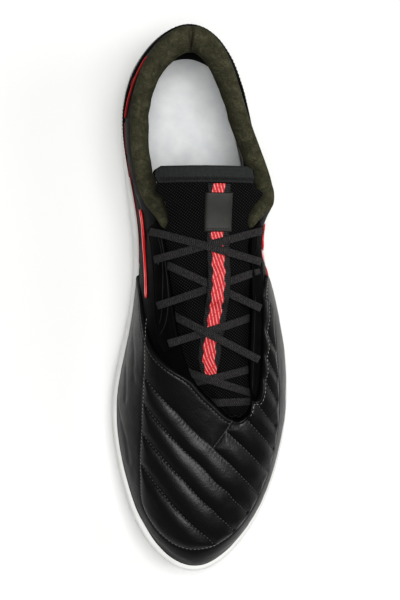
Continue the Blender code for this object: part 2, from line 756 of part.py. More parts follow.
def strand(name, cover, start, end, bump, finish):
    """Flat lace pulled tight from start to end over what lies below, bumped where it crosses another."""
    along = (end - start) / np.linalg.norm(end - start)
    side = np.array((-along[1], along[0])) * 0.5 * LACE_WIDTH
    run = np.linspace(0.0, 1.0, STRAND_STEPS)
    line = start + run[:, None] * (end - start)
    edges, touched = [], set()
    for offset in (-1.0, 1.0):
        probes = [line + part * offset * side for part in (1.4, 0.7, 0.1)]
        height = np.array([max(over(cover, *point) for point in row) for row in zip(*probes)])
        height += LACE_CLEARANCE
        if bump is not None:
            height[np.argmin(np.abs(run - bump))] += LACE_LIFT
        kept = taut(run, height)
        touched.update(kept)
        edges.append(np.column_stack((line + offset * side, np.interp(run, run[kept], height[kept]))))
    low_a, low_b = (edge[sorted(touched)] for edge in edges)
    up = np.array((0.0, 0.0, LACE))
    return skin(name, np.stack((low_a, low_b, low_b + up, low_a + up), 1), finish)


def crossing_share(a, b, c, d):
    """Share of the way from a to b, and from c to d, at which the two lines cross in plan."""
    system = np.column_stack((b - a, c - d))
    return np.linalg.solve(system, c - a)


def strand_ends():
    """Plan line of every strand: past the lace holes, and just short of the edges of the throat."""
    lines = {}
    for name, *ends, above in STRANDS:
        points, reach = [], []
        for end in ends:
            at_hole = isinstance(end, tuple)
            points.append((hole_frame(*end)[0] if at_hole else surface(float(turn(end)), 1.0))[:2])
            reach.append(LACE_PAST_HOLE if at_hole else -LACE_END)
        along = (points[1] - points[0]) / np.linalg.norm(points[1] - points[0])
        ends = points[0] - reach[0] * along, points[1] + reach[1] * along
        lines.setdefault(name, []).append((*ends, above))
    return lines


def crossing_at(name):
    """Plan point at which the two strands of a crossing meet."""
    (a, b, _), (c, d, _) = strand_ends()[name]
    return a + crossing_share(a, b, c, d)[0] * (b - a)


def build_lace(over_tape, under_tape, finish):
    """Crossings of the lace, each two strands joined where they meet, and the bar below them."""
    for name, ((a, b, first_above), (c, d, second_above)) in strand_ends().items():
        cover = under_tape if name == KEEPER_CROSSING else over_tape
        first, second = crossing_share(a, b, c, d)
        one = strand(name, cover, a, b, first if first_above else None, finish)
        two = strand(name + "_under", cover, c, d, second if second_above else None, finish)
        two.hide_render = True
        two.display_type = "WIRE"
        joined = one.modifiers.new("joined", "BOOLEAN")
        joined.operation = "UNION"
        joined.solver = "EXACT"
        joined.object = two
    medial, lateral = (surface(float(turn(section)), 1.0)[:2] for section in BAR)
    along = (lateral - medial) / np.linalg.norm(lateral - medial)
    strand("lace_bar", over_tape, medial + 2.0 * LACE_END * along, lateral - LACE_END * along, None, finish)


def main():
    for old in list(bpy.data.objects):
        bpy.data.objects.remove(old, do_unlink=True)
    white_rubber = material("white_rubber", (0.80, 0.80, 0.78), 0.55)
    outsole_rubber = material("outsole_rubber", (0.70, 0.70, 0.68), 0.60)
    quarter = material("quarter_synthetic", (0.012, 0.012, 0.013), 0.45)
    leather = material("vamp_leather", (0.008, 0.008, 0.009), 0.32)
    stay = material("stay_synthetic", (0.016, 0.016, 0.018), 0.40)
    counter = material("counter_synthetic", (0.011, 0.011, 0.012), 0.35)
    suede = material("collar_suede", (0.040, 0.041, 0.028), 0.95)
    mesh = material("tongue_mesh", (0.012, 0.012, 0.013), 0.85)
    binding = material("binding_knit", (0.030, 0.030, 0.032), 0.90)
    red = material("red_tape", (0.66, 0.030, 0.034), 0.60)
    label = material("label_rubber", (0.040, 0.040, 0.039), 0.60)
    liner = material("insole_fabric", (0.78, 0.80, 0.80), 0.90)
    cord = material("lace_fabric", (0.022, 0.021, 0.021), 0.85)
    build_midsole(white_rubber)
    build_outsole(outsole_rubber)
    upper = build_upper(quarter)
    build_insole(liner)
    vamp = build_vamp(leather)
    stays = build_eyestays(stay)
    build_counter(counter)
    build_collar(suede)
    tongue = build_tongue(upper, mesh)
    tape = build_trims(tongue, binding, red, label)
    build_lace(tree_of(tongue, tape, upper, vamp, *stays), tree_of(tongue, upper, vamp, *stays), cord)
    cut_lace_holes([upper] + stays)


main()
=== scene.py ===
"""Left indoor soccer shoe dressed for the picture: quilted leather, suede collar, mesh tongue, flat laces.

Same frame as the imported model: metres, +Z up, toe towards -Y, medial side towards -X.
"""

import bmesh
import bpy
import numpy as np
from mathutils import Matrix, Vector
from mathutils.bvhtree import BVHTree
from mathutils.kdtree import KDTree

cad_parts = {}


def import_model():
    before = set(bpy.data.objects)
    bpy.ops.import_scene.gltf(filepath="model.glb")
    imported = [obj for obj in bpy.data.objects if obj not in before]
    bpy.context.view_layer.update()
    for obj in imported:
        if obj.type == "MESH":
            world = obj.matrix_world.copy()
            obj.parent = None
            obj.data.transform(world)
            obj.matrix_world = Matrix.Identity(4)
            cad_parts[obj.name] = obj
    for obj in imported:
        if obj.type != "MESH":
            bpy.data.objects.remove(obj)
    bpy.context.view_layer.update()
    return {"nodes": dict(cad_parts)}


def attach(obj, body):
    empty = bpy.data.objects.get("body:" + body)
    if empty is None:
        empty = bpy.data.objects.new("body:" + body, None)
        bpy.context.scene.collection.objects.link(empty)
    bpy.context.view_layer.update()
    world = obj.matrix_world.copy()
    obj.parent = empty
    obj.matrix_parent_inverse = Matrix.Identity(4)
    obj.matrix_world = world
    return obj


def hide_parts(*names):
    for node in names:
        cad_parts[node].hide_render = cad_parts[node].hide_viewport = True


# Sizes shared with the solid model
LENGTH = 0.290
BALL_WIDTH = 0.0965
INSTEP_HEIGHT = 0.0755
HEEL_HEIGHT = 0.0765
TOE_SPRING = 0.0115
HEEL_BEVEL = 0.0035
ARCH_RISE = 0.0028
SOLE_SIDE = 0.0245
SOLE_FLOOR = 0.0165
WALL = 0.0022
RIM = 0.0040
OUTSOLE = 0.0045
LUG_DEPTH = 0.0020
GROOVE = 0.0028
OUTSOLE_INSET = 0.0028
INSOLE = 0.0042
INSOLE_CUP = 0.0030
INSOLE_CLEARANCE = 0.0018
LEATHER = 0.0014
SYNTHETIC = 0.0010
COUNTER = 0.0012
GAP = 0.0003
TONGUE = 0.0050
TONGUE_CLEARANCE = 0.0008
TONGUE_RISE = 0.0150
BINDING_WIDTH = 0.0085
TAPE_WIDTH = 0.0115
LABEL_WIDTH = 0.0140
LABEL_SETBACK = 0.0050
LABEL_CLEARANCE = 0.0070
KEEPER_RISE = 0.0031
KEEPER_LENGTH = 0.0060
COLLAR_PAD = 0.0068
COLLAR_RISE = 0.0062
COLLAR_DEPTH = 0.0270
COLLAR_HEEL = 0.45
COLLAR_CLEARANCE = 0.0007
COLLAR_FRONT = 5.00
COLLAR_TAPER = 3.60
LINING = 0.0014
LACE_WIDTH = 0.0040
LACE = 0.0011
LACE_LIFT = 0.0010
LACE_HOLE = 0.0036

# Sizes of what only the picture shows
PUFF = 0.0018
PUFF_REACH = 0.0062
STITCH = 0.00030
STITCH_PITCH = 0.0021
LACE_DIVE = 0.0030
HEEL_LINING = 0.0110
TONGUE_PRESS = 0.0006
TONGUE_SPREAD = 0.0200
TONGUE_FREE = 0.020
EDGE_ROUND = 0.0011
EDGE_ROW = 0.0026
EDGE_DIP = 0.0024
RIM_TUCK = 0.030
END_ROUND = 0.0155
TREAD_WAVE = 0.0032
TREAD_ZIGZAG = 0.0045
TREAD_DEPTH = 0.0006
LACE_SEAT = 0.00025
LACE_SMOOTH = 0.0042
TAPE_ROPE = 0.0074
TAPE_STROKE = 0.00165
TAPE_RED = 0.0029
BAND_ZIGZAGS = 33
STEPS_UP = 60
FLOOR_DROP = 0.0002
FLOOR_REACH = 3.0
UP = (0.0, 0.0, 1.0)

# Picture: places in metres, power in watts
CAMERA_SPOT = (-0.054, 0.0015, 0.900)
CAMERA_TARGET = (-0.0015, 0.0005, 0.035)
PICTURE_HEIGHT = 0.318
SENSOR = 36.0
SKY = 0.28
LIGHTS = (
    # name       spot                target            size          power  colour
    ("overhead", (0.04, 0.02, 1.25), (0.0, 0.0, 0.03), (0.60, 0.75), 14.5, (1.0, 1.0, 1.0)),
    ("key", (1.00, 0.20, 0.70), (0.0, 0.0, 0.03), (0.6, 0.9), 3.6, (1.0, 0.99, 0.97)),
)
TONE_CURVE = ((0.012, 0.003), (0.03, 0.009), (0.07, 0.032), (0.15, 0.115), (0.35, 0.345))

# Sections of the lasted upper, as in the solid model: shares of LENGTH, BALL_WIDTH and the height
COLUMNS = ("y", "medial", "lateral", "edge_y", "edge_medial", "edge_lateral", "edge", "heel",
           "swell_medial", "swell_lateral", "rise", "shoulder", "drop")
SECTIONS = (
    (0.486, -0.090, -0.090, 0.478, -0.090, -0.090, 1.000, 1.0, 0.036, 0.036, 0.24, 0.00, 0.24),
    (0.441, -0.316, 0.122, 0.431, -0.300, 0.098, 0.955, 1.0, 0.036, 0.036, 0.24, 0.00, 0.23),
    (0.348, -0.402, 0.205, 0.336, -0.400, 0.208, 0.850, 1.0, 0.040, 0.040, 0.20, 0.00, 0.18),
    (0.237, -0.384, 0.275, 0.231, -0.381, 0.328, 0.795, 0.7, 0.030, 0.034, 0.19, 0.00, 0.15),
    (0.153, -0.352, 0.301, 0.167, -0.315, 0.345, 0.865, 0.3, 0.026, 0.030, 0.21, 0.10, 0.14),
    (0.070, -0.337, 0.326, 0.122, -0.243, 0.238, 0.995, 0.0, 0.034, 0.030, 0.26, 0.44, 0.10),
    (-0.049, -0.378, 0.415, 0.014, -0.192, 0.232, 0.980, 0.0, 0.024, 0.034, 0.28, 0.56, 0.08),
    (-0.188, -0.456, 0.451, -0.118, -0.104, 0.228, 0.890, 0.0, 0.012, 0.034, 0.29, 0.62, 0.085),
    (-0.331, -0.404, 0.368, -0.178, 0.031, 0.240, 0.825, 0.0, 0.010, 0.030, 0.30, 0.62, 0.105),
    (-0.437, -0.271, 0.192, -0.202, 0.105, 0.214, 0.800, 0.0, 0.010, 0.022, 0.31, 0.64, 0.12),
    (-0.486, -0.045, -0.045, -0.210, 0.160, 0.160, 0.790, 0.0, 0.016, 0.016, 0.31, 0.66, 0.125),
)
TOE = len(SECTIONS) - 1
SOLE_SECTIONS = (
    (0.50, 1.04, 1.02), (0.32, 0.96, 1.00), (0.06, 0.86, 0.90),
    (-0.18, 0.76, 0.68), (-0.36, 0.72, 0.58), (-0.50, 0.76, 0.56),
)
SIDE_PROFILE = (
    # height step
    (0.00, 0.0030), (0.05, 0.0016), (0.10, 0.0010), (0.22, 0.0003), (0.36, 0.0000), (0.50, 0.0002),
    (0.555, 0.0003), (0.575, 0.0007), (0.60, 0.0013), (0.625, 0.0012), (0.65, 0.0007), (0.68, 0.0005),
    (0.80, 0.0006), (0.90, 0.0008), (0.955, 0.0012), (0.985, 0.0016), (1.00, 0.0022),
)
FOREFOOT_GROOVES = (-0.045, -0.36, 7)
HEEL_GROOVES = (0.405, 0.235, 4)
GROOVE_BOW = 0.0060
VAMP_MEDIAL = ((-5.20, 0.00), (-5.45, 0.34), (-5.75, 0.47), (-6.10, 0.58), (-6.40, 0.68),
               (-6.70, 0.82), (-7.00, 0.95), (-7.20, 1.00))
VAMP_LATERAL = ((7.80, 1.00), (7.55, 0.92), (7.00, 0.87), (6.40, 0.86), (5.95, 0.84), (5.70, 0.77),
                (5.50, 0.64))
VAMP_REAR = ((5.98, 0.00), (5.80, 0.24), (5.62, 0.46), (5.50, 0.60))
EYESTAY_MEDIAL = ((-4.66, 0.72), (-5.00, 0.74), (-5.50, 0.76), (-6.10, 0.76), (-6.50, 0.80), (-6.66, 0.86))
EYESTAY_LATERAL = ((4.66, 0.71), (5.00, 0.74), (5.60, 0.78), (6.20, 0.87), (7.00, 0.89), (7.55, 0.93))
COUNTER_TOP = ((0.00, 0.80), (0.80, 0.79), (1.60, 0.70), (2.40, 0.46), (3.10, 0.20))
HOLES = {
    "medial": ((-4.84, 0.82), (-5.40, 0.84), (-6.04, 0.84), (-6.56, 0.92)),
    "lateral": ((4.84, 0.84), (5.46, 0.86), (6.12, 0.91), (6.78, 0.925)),
}
STRANDS = (
    # crossing        start      end    over
    ("lace_crossing_1", ("medial", 0), ("lateral", 1), True),
    ("lace_crossing_1", ("lateral", 0), ("medial", 1), False),
    ("lace_crossing_2", ("lateral", 2), -5.62, True),
    ("lace_crossing_2", ("medial", 2), 5.74, False),
    ("lace_crossing_3", ("lateral", 3), -6.28, True),
    ("lace_crossing_3", ("medial", 3), 6.30, False),
    ("lace_crossing_4", -7.08, 7.62, True),
    ("lace_crossing_4", 7.02, -7.30, False),
    ("lace_bar", -8.05, 8.00, False),
)
KEEPER_CROSSING = "lace_crossing_2"
LABEL_CROSSING = "lace_crossing_1"
TAPE_LINE = ((-0.144, 0.026), (-0.125, 0.012), (-0.090, 0.014), (-0.055, 0.028), (0.030, 0.054),
             (0.105, 0.048), (0.210, 0.052))
TONGUE_SECTIONS = (
    # y     centre half   crown  fall   thick
    (-0.203, 0.130, 0.100, 0.648, 0.020, 0.45),
    (-0.167, 0.110, 0.165, 0.693, 0.036, 0.60),
    (-0.117, 0.070, 0.225, 0.753, 0.060, 0.75),
    (-0.037, 0.030, 0.270, 0.828, 0.092, 0.90),
    (0.043, 0.014, 0.264, 0.888, 0.110, 1.00),
    (0.098, 0.008, 0.228, 0.916, 0.096, 1.00),
    (0.138, 0.003, 0.186, 0.933, 0.072, 1.00),
    (0.178, 0.002, 0.222, 0.968, 0.076, 1.05),
    (0.215, -0.022, 0.262, 0.990, 0.078, 1.10),
    (0.227, -0.024, 0.255, 0.998, 0.074, 1.00),
    (0.233, -0.024, 0.225, 1.000, 0.062, 0.75),
)

# Sewn lines of the vamp, each a smooth curve through (section, share of the way up)
PERIMETER = ((-6.09, 0.664), (-6.30, 0.650), (-6.76, 0.650), (-7.42, 0.554), (-8.17, 0.365), (-8.40, 0.293),
             (-8.60, 0.281), (-9.08, 0.305), (-9.55, 0.349), (9.98, 0.393), (9.51, 0.401), (9.03, 0.405),
             (8.63, 0.446), (8.25, 0.473), (7.85, 0.507), (7.43, 0.569), (6.85, 0.638), (6.45, 0.680),
             (6.05, 0.660))
RIM_CORNERS = ((-5.95, 0.80), (-5.85, 1.20), (5.95, 0.80), (5.85, 1.20))
STRIP_LINE = ((-6.82, 0.653), (-7.15, 0.752), (-7.49, 0.812), (-7.95, 0.841), (-8.76, 0.870), (-9.25, 0.878),
              (-9.78, 0.870), (9.73, 0.839), (9.30, 0.777), (8.94, 0.685), (8.69, 0.577), (8.57, 0.490))
V_SEAM = ((-9.23, 0.880), (-9.33, 0.915), (-9.45, 0.950), (-9.59, 0.979), (-9.68, 0.995))
QUILT_LINES = (
    ((-7.13, 0.610), (-7.47, 0.677), (-7.92, 0.729), (-8.57, 0.772), (-9.38, 0.790), (9.83, 0.743),
     (9.48, 0.680), (9.17, 0.589), (8.92, 0.470)),
    ((-7.56, 0.534), (-7.95, 0.602), (-8.53, 0.659), (-9.21, 0.684), (-9.87, 0.658), (9.83, 0.614),
     (9.55, 0.548), (9.29, 0.440)),
    ((-7.98, 0.442), (-8.44, 0.505), (-8.94, 0.538), (-9.50, 0.542), (9.99, 0.491), (9.76, 0.422)),
    ((-9.41, 0.960), (9.87, 0.939), (9.25, 0.891), (8.79, 0.813), (8.46, 0.702), (8.23, 0.571),
     (8.16, 0.510)),
    ((8.83, 0.974), (8.44, 0.913), (8.15, 0.820), (7.96, 0.702), (7.83, 0.560)),
    ((7.66, 0.941), (7.63, 0.868), (7.60, 0.782), (7.54, 0.640)),
    ((7.00, 0.845), (7.10, 0.775), (7.16, 0.675)),
    ((6.66, 0.840), (6.76, 0.776), (6.84, 0.690)),
    ((6.33, 0.835), (6.45, 0.766), (6.50, 0.710)),
)

# Worn-in creases, each a line through (section, share), how wide it is and how deep
SHELL_CREASES = (
    (((-5.55, 0.16), (-5.72, 0.30), (-5.80, 0.42)), 0.0026, 0.0006),
    (((-4.60, 0.30), (-4.75, 0.48), (-4.70, 0.62)), 0.0040, 0.0006),
    (((4.55, 0.26), (4.75, 0.44), (4.70, 0.62)), 0.0040, 0.0006),
    (((-3.10, 0.52), (-3.60, 0.60), (-4.10, 0.62)), 0.0036, 0.0005),
    (((3.10, 0.52), (3.60, 0.60), (4.10, 0.62)), 0.0036, 0.0005),
)
LEATHER_CREASES = (
    (((-6.30, 0.20), (-6.70, 0.34), (-7.00, 0.36)), 0.0022, 0.0006),
    (((-6.10, 0.34), (-6.45, 0.46), (-6.80, 0.50)), 0.0022, 0.0005),
    (((-7.10, 0.20), (-7.45, 0.30), (-7.80, 0.28)), 0.0020, 0.0005),
    (((8.60, 0.14), (8.95, 0.20), (9.40, 0.22)), 0.0022, 0.0004),
    (((-8.70, 0.10), (-9.20, 0.19), (-9.70, 0.21)), 0.0022, 0.0004),
)
# Folds across the collar: section and depth
COLLAR_FOLDS = ((-3.15, 0.0005), (3.30, 0.0006), (-2.1, 0.0004), (1.9, 0.0004), (4.2, 0.0006),
                (-4.15, 0.0006))

# Welded seams and piping: line, how far out it lies, half its width, half its height, finish
PIPING_MEDIAL = ((-3.95, 0.66), (-4.15, 0.602), (-4.67, 0.530), (-5.06, 0.540), (-5.45, 0.573),
                 (-5.79, 0.597))
PIPING_HEEL = ((-1.05, 0.972), (-1.31, 0.945), (-1.49, 0.915), (-1.71, 0.870), (-1.92, 0.810), (-2.12, 0.750))
LINES = {
    "seam_medial_outer": (((-5.02, 0.930), (-5.25, 0.952), (-5.49, 0.952), (-5.77, 0.927), (-5.98, 0.900),
                           (-6.16, 0.870), (-6.28, 0.830)), SYNTHETIC, 0.00034, 0.00034, "seam"),
    "seam_medial_inner": (((-5.10, 0.980), (-5.44, 0.986), (-5.89, 0.980), (-6.09, 0.960), (-6.24, 0.927),
                           (-6.36, 0.872), (-6.40, 0.826)), SYNTHETIC, 0.00034, 0.00034, "seam"),
    "seam_lateral": (((4.98, 0.932), (5.14, 0.900), (5.28, 0.917), (5.43, 0.943)),
                     SYNTHETIC, 0.00026, 0.00026, "seam"),
    "seam_lateral_front": (((6.00, 0.965), (6.40, 0.970), (7.00, 0.972), (7.45, 0.980)),
                           SYNTHETIC, 0.00026, 0.00026, "seam"),
    "piping_medial": (PIPING_MEDIAL, 0.0002, 0.0008, 0.0008, "red"),
    "piping_medial_core": (PIPING_MEDIAL, 0.0009, 0.00028, 0.00024, "pink"),
    "piping_medial_low": (((-2.72, 0.51), (-3.22, 0.46), (-3.62, 0.33), (-4.14, 0.24), (-4.62, 0.20),
                           (-5.10, 0.20)), 0.0, 0.0006, 0.0006, "dark_red"),
    "piping_heel": (PIPING_HEEL, 0.0002, 0.0007, 0.0008, "dark_red"),
    "piping_heel_core": (PIPING_HEEL, 0.0009, 0.00026, 0.00024, "red"),
    "piping_heel_low": (((-1.40, 0.76), (-1.64, 0.66), (-1.87, 0.57), (-2.15, 0.52), (-2.42, 0.51),
                         (-2.72, 0.51)), 0.0, 0.0006, 0.0006, "dark_red"),
    "piping_lateral": (((4.40, 0.60), (4.60, 0.54), (4.82, 0.51), (5.00, 0.53)),
                       0.0002, 0.0008, 0.0007, "red"),
    "piping_lateral_dash": (((5.13, 0.715), (5.22, 0.700), (5.30, 0.660)), 0.0006, 0.0006, 0.0005, "pink"),
    "piping_lateral_low": (((5.16, 0.36), (5.40, 0.42), (5.56, 0.40)), 0.0002, 0.0008, 0.0006, "red"),
    "piping_lateral_rear": (((5.50, 0.56), (5.62, 0.42), (5.78, 0.22)), 0.0008, 0.0006, 0.0006, "dark_red"),
}


# Shape of the last


def unit(ways):
    return ways / np.linalg.norm(ways, axis=-1, keepdims=True)


def run_along(path):
    """Length of the way to each point of a path."""
    return np.concatenate(([0.0], np.cumsum(np.linalg.norm(np.diff(path, axis=0), axis=1))))


def crowded(count):
    """Shares from -1 to 1 that lie closer together near both ends."""
    return np.sin(np.linspace(-np.pi / 2, np.pi / 2, count))


def spline(values, at, closed=True):
    """Smooth curve through values that stand at whole numbers; at may be any array."""
    values = np.asarray(values, float)
    count = len(values)
    system = 4.0 * np.eye(count) + np.eye(count, k=1) + np.eye(count, k=-1)
    chords = np.empty_like(values)
    chords[1:-1] = values[2:] - values[:-2]
    if closed:
        system[0, -1] = system[-1, 0] = 1.0
        chords[0] = values[1] - values[-1]
        chords[-1] = values[0] - values[-2]
    else:
        system[0, 0] = system[-1, -1] = 2.0
        chords[0] = values[1] - values[0]
        chords[-1] = values[-1] - values[-2]
    slopes = np.linalg.solve(system, 3.0 * chords.reshape(count, -1)).reshape(values.shape)
    at = np.asarray(at, float)
    if closed:
        left = np.floor(at).astype(int) % count
        right = (left + 1) % count
        part = at - np.floor(at)
    else:
        left = np.clip(np.floor(at).astype(int), 0, count - 2)
        right = left + 1
        part = at - left
    part = part.reshape(part.shape + (1,) * (values.ndim - 1))
    square = part * part
    cube = square * part
    return ((2 * cube - 3 * square + 1) * values[left] + (cube - 2 * square + part) * slopes[left]
            + (3 * square - 2 * cube) * values[right] + (cube - square) * slopes[right])


def along_table(table, column, y):
    table = np.asarray(table, float)
    places = table[:, 0] * LENGTH
    order = np.argsort(places)
    index = np.interp(y, places[order], np.arange(len(table), dtype=float))
    return spline(table[order, column], index, closed=False)


def around(column):
    rows = np.asarray(SECTIONS, float)
    pairs = {"x": ("medial", "lateral"), "edge_x": ("edge_medial", "edge_lateral"),
             "swell": ("swell_medial", "swell_lateral")}
    medial, lateral = (COLUMNS.index(name) for name in pairs.get(column, (column, column)))
    return np.concatenate((rows[:, lateral], rows[-2:0:-1, medial]))


def read(column, place):
    return spline(around(column), place)


def turn(section):
    """Place round the shoe of a section number, which is negative on the medial side."""
    return np.where(np.asarray(section) < 0, 2.0 * TOE + np.asarray(section, float), section)


def ground(y):
    y = np.asarray(y, float)
    toe_start, toe_end = -0.215 * LENGTH, -0.5 * LENGTH
    heel_start, heel_end = 0.43 * LENGTH, 0.5 * LENGTH
    toe = np.clip((y - toe_start) / (toe_end - toe_start), 0.0, 1.1) ** 1.9 * TOE_SPRING
    heel = np.clip((y - heel_start) / (heel_end - heel_start), 0.0, 1.1) ** 2 * HEEL_BEVEL
    arch = np.cos(np.clip((y - 0.13 * LENGTH) / (0.15 * LENGTH), -1.0, 1.0) * np.pi / 2) ** 2 * ARCH_RISE
    return toe + heel + arch


def sole_floor(y):
    return ground(y) + along_table(SOLE_SECTIONS, 2, y) * SOLE_FLOOR


def sole_rim(y):
    return ground(y) + along_table(SOLE_SECTIONS, 1, y) * SOLE_SIDE


def outline(place):
    step = 0.01

    def plan(at):
        return np.stack((read("x", at) * BALL_WIDTH, read("y", at) * LENGTH), -1)

    tangent = unit(plan(place + step) - plan(place - step))
    return plan(place), np.stack((-tangent[..., 1], tangent[..., 0]), -1)


def last(place, share):
    """Outer surface of the upper: place round the shoe, share of the way from sole to opening."""
    place, share = np.broadcast_arrays(np.asarray(place, float), np.asarray(share, float))
    foot, out = outline(place)
    height = read("heel", place) * HEEL_HEIGHT + (1.0 - read("heel", place)) * INSTEP_HEIGHT
    low = sole_floor(foot[..., 1]) + GAP
    edge = np.stack((read("edge_x", place) * BALL_WIDTH, read("edge_y", place) * LENGTH), -1)
    swell = (read("swell", place) * BALL_WIDTH)[..., None]
    lean = read("shoulder", place)[..., None]
    high = read("edge", place) * height
    points = (
        np.concatenate((foot, low[..., None]), -1),
        np.concatenate((foot + 0.7 * swell * out, (low + read("rise", place) * height)[..., None]), -1),
        np.concatenate((edge + lean * (foot - edge) + swell * out,
                        (high - read("drop", place) * height)[..., None]), -1),
        np.concatenate((edge, high[..., None]), -1),
    )
    part = share[..., None]
    rest = 1.0 - part
    return (rest ** 3 * points[0] + 3 * rest ** 2 * part * points[1]
            + 3 * rest * part ** 2 * points[2] + part ** 3 * points[3])


def facing(place, share):
    step = 0.01
    place, share = np.broadcast_arrays(np.asarray(place, float), np.asarray(share, float))
    high = np.minimum(share + step, 1.0)
    low = np.maximum(share - step, 0.0)
    return unit(np.cross(last(place, high) - last(place, low),
                         last(place + step, share) - last(place - step, share)))


def surface(place, share, out=0.0):
    return last(place, share) + np.asarray(out)[..., None] * facing(place, share)


def level(place, height):
    """Share of the way up at which each place reaches a height above the floor."""
    shares = np.linspace(0.0, 1.0, STEPS_UP)
    place, height = np.broadcast_arrays(np.asarray(place, float), np.asarray(height, float))
    heights = last(place[..., None], shares)[..., 2]
    found = [np.interp(h, row, shares) for h, row in zip(height.ravel(), heights.reshape(-1, STEPS_UP))]
    return np.array(found).reshape(place.shape)


def below_edge(place, distance):
    shares = np.linspace(1.0, 0.0, STEPS_UP)
    line = last(np.asarray(place, float)[..., None], shares)
    steps = np.linalg.norm(np.diff(line, axis=-2), axis=-1)
    run = np.concatenate((np.zeros(steps.shape[:-1] + (1,)), np.cumsum(steps, -1)), -1)
    return np.array([np.interp(d, row, shares) for d, row in zip(distance, run)])


def stations(count):
    fine = np.linspace(0.0, 2.0 * TOE, 40 * TOE)
    plan = outline(fine)[0]
    run = run_along(plan)
    return np.interp((np.arange(count) + 0.5) / count * run[-1], run, fine)


def rim_share(place):
    return level(place, sole_rim(outline(place)[0][..., 1]) + GAP)


def width_at(y, inset):
    place = stations(400)
    foot, out = outline(place)
    edge = foot + (RIM - inset) * out
    half = len(place) // 2
    lateral, medial = edge[:half][::-1], edge[half:]
    return np.interp(y, medial[:, 1], medial[:, 0]), np.interp(y, lateral[:, 1], lateral[:, 0])


def edge_line(*tables):
    rows = sorted((float(turn(section)), share) for table in tables for section, share in table)
    places, shares = zip(*rows)

    def at(place):
        return np.interp(place, places, shares)

    return at


def soft(values, reach=3):
    """Rounds the corners of a line read at even places."""
    kernel = np.hanning(2 * reach + 3)[1:-1]
    padded = np.pad(values, reach, mode="edge")
    return np.convolve(padded, kernel / kernel.sum(), mode="valid")


# Noise and distances


def hashed(cells, seed):
    """Pseudo-random number from 0 to 1 for whole-number cells, the same on every run."""
    mixed = (cells[..., 0] * 73856093) ^ (cells[..., 1] * 19349663) ^ (cells[..., 2] * 83492791)
    mixed = mixed ^ (seed * 2654435)
    mixed = (mixed ^ (mixed >> 13)) * 1274126177
    return ((mixed ^ (mixed >> 16)) & 0xFFFF) / 65535.0


def bumps(points, size, seed=1):
    """Smooth noise from -1 to 1 with lumps of one size."""
    at = np.asarray(points) / size
    base = np.floor(at).astype(np.int64)
    part = at - base
    part = part * part * (3.0 - 2.0 * part)
    total = 0.0
    for corner in np.ndindex(2, 2, 2):
        weight = 1.0
        for axis, step in enumerate(corner):
            weight = weight * np.where(step, part[..., axis], 1 - part[..., axis])
        total = total + weight * hashed(base + corner, seed)
    return 2.0 * total - 1.0


def curve_on(line, out=0.0, spacing=0.0006):
    """Points at even spacing along a smooth curve through (section, share) rows, and the way out at each."""
    rows = np.array([(float(turn(section)), share) for section, share in line])
    at = np.linspace(0.0, len(rows) - 1.0, 400)
    fine = spline(rows, at, closed=False)
    points = last(fine[:, 0], fine[:, 1])
    run = run_along(points)
    steps = np.linspace(0.0, run[-1], max(2, int(run[-1] / spacing)))
    place, share = np.interp(steps, run, fine[:, 0]), np.interp(steps, run, fine[:, 1])
    return surface(place, share, out), facing(place, share)


def distance_to(points, *curves):
    """Distance from each point to the nearest point of some curves, and how far along it that is."""
    flat = points.reshape(-1, 3)
    spots = np.concatenate(curves)
    runs = np.concatenate([run_along(curve) for curve in curves])
    tree = KDTree(len(spots))
    for index, spot in enumerate(spots):
        tree.insert(spot, index)
    tree.balance()
    found = [tree.find(point) for point in flat]
    far = np.array([hit[2] for hit in found]).reshape(points.shape[:-1])
    along = runs[[hit[1] for hit in found]].reshape(points.shape[:-1])
    return far, along


def trough(points, line, width, depth):
    """Soft trough, or ridge where depth is negative, along a given line on the surface."""
    far, _ = distance_to(points, curve_on(line, spacing=0.0015)[0])
    return -depth * np.exp(-(far / width) ** 2)


def creases(points, rows):
    return sum(trough(points, line, width, depth) for line, width, depth in rows)


# Meshes


def add_piece(name, points, faces, finish, slot=None, uvs=None, replaced=(), crease=None):
    """One closed piece that rides on the shoe, with faces out; uvs hold one pair per face corner."""
    mesh = bpy.data.meshes.new(name)
    mesh.from_pydata(np.asarray(points, float).tolist(), [], faces)
    if uvs is not None:
        layer = mesh.uv_layers.new(name="along")
        layer.data.foreach_set("uv", np.asarray(uvs, np.float32).ravel())
    shell = bmesh.new()
    shell.from_mesh(mesh)
    bmesh.ops.recalc_face_normals(shell, faces=shell.faces)
    if shell.calc_volume(signed=True) < 0.0:
        bmesh.ops.reverse_faces(shell, faces=shell.faces)
    shell.to_mesh(mesh)
    shell.free()
    mesh.materials.append(finish)
    mesh.shade_smooth()
    if crease:
        mesh.set_sharp_from_angle(angle=np.radians(crease))
    piece = bpy.data.objects.new(name, mesh)
    bpy.context.collection.objects.link(piece)
    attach(piece, "root")
    if replaced:
        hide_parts(*replaced)
    return piece


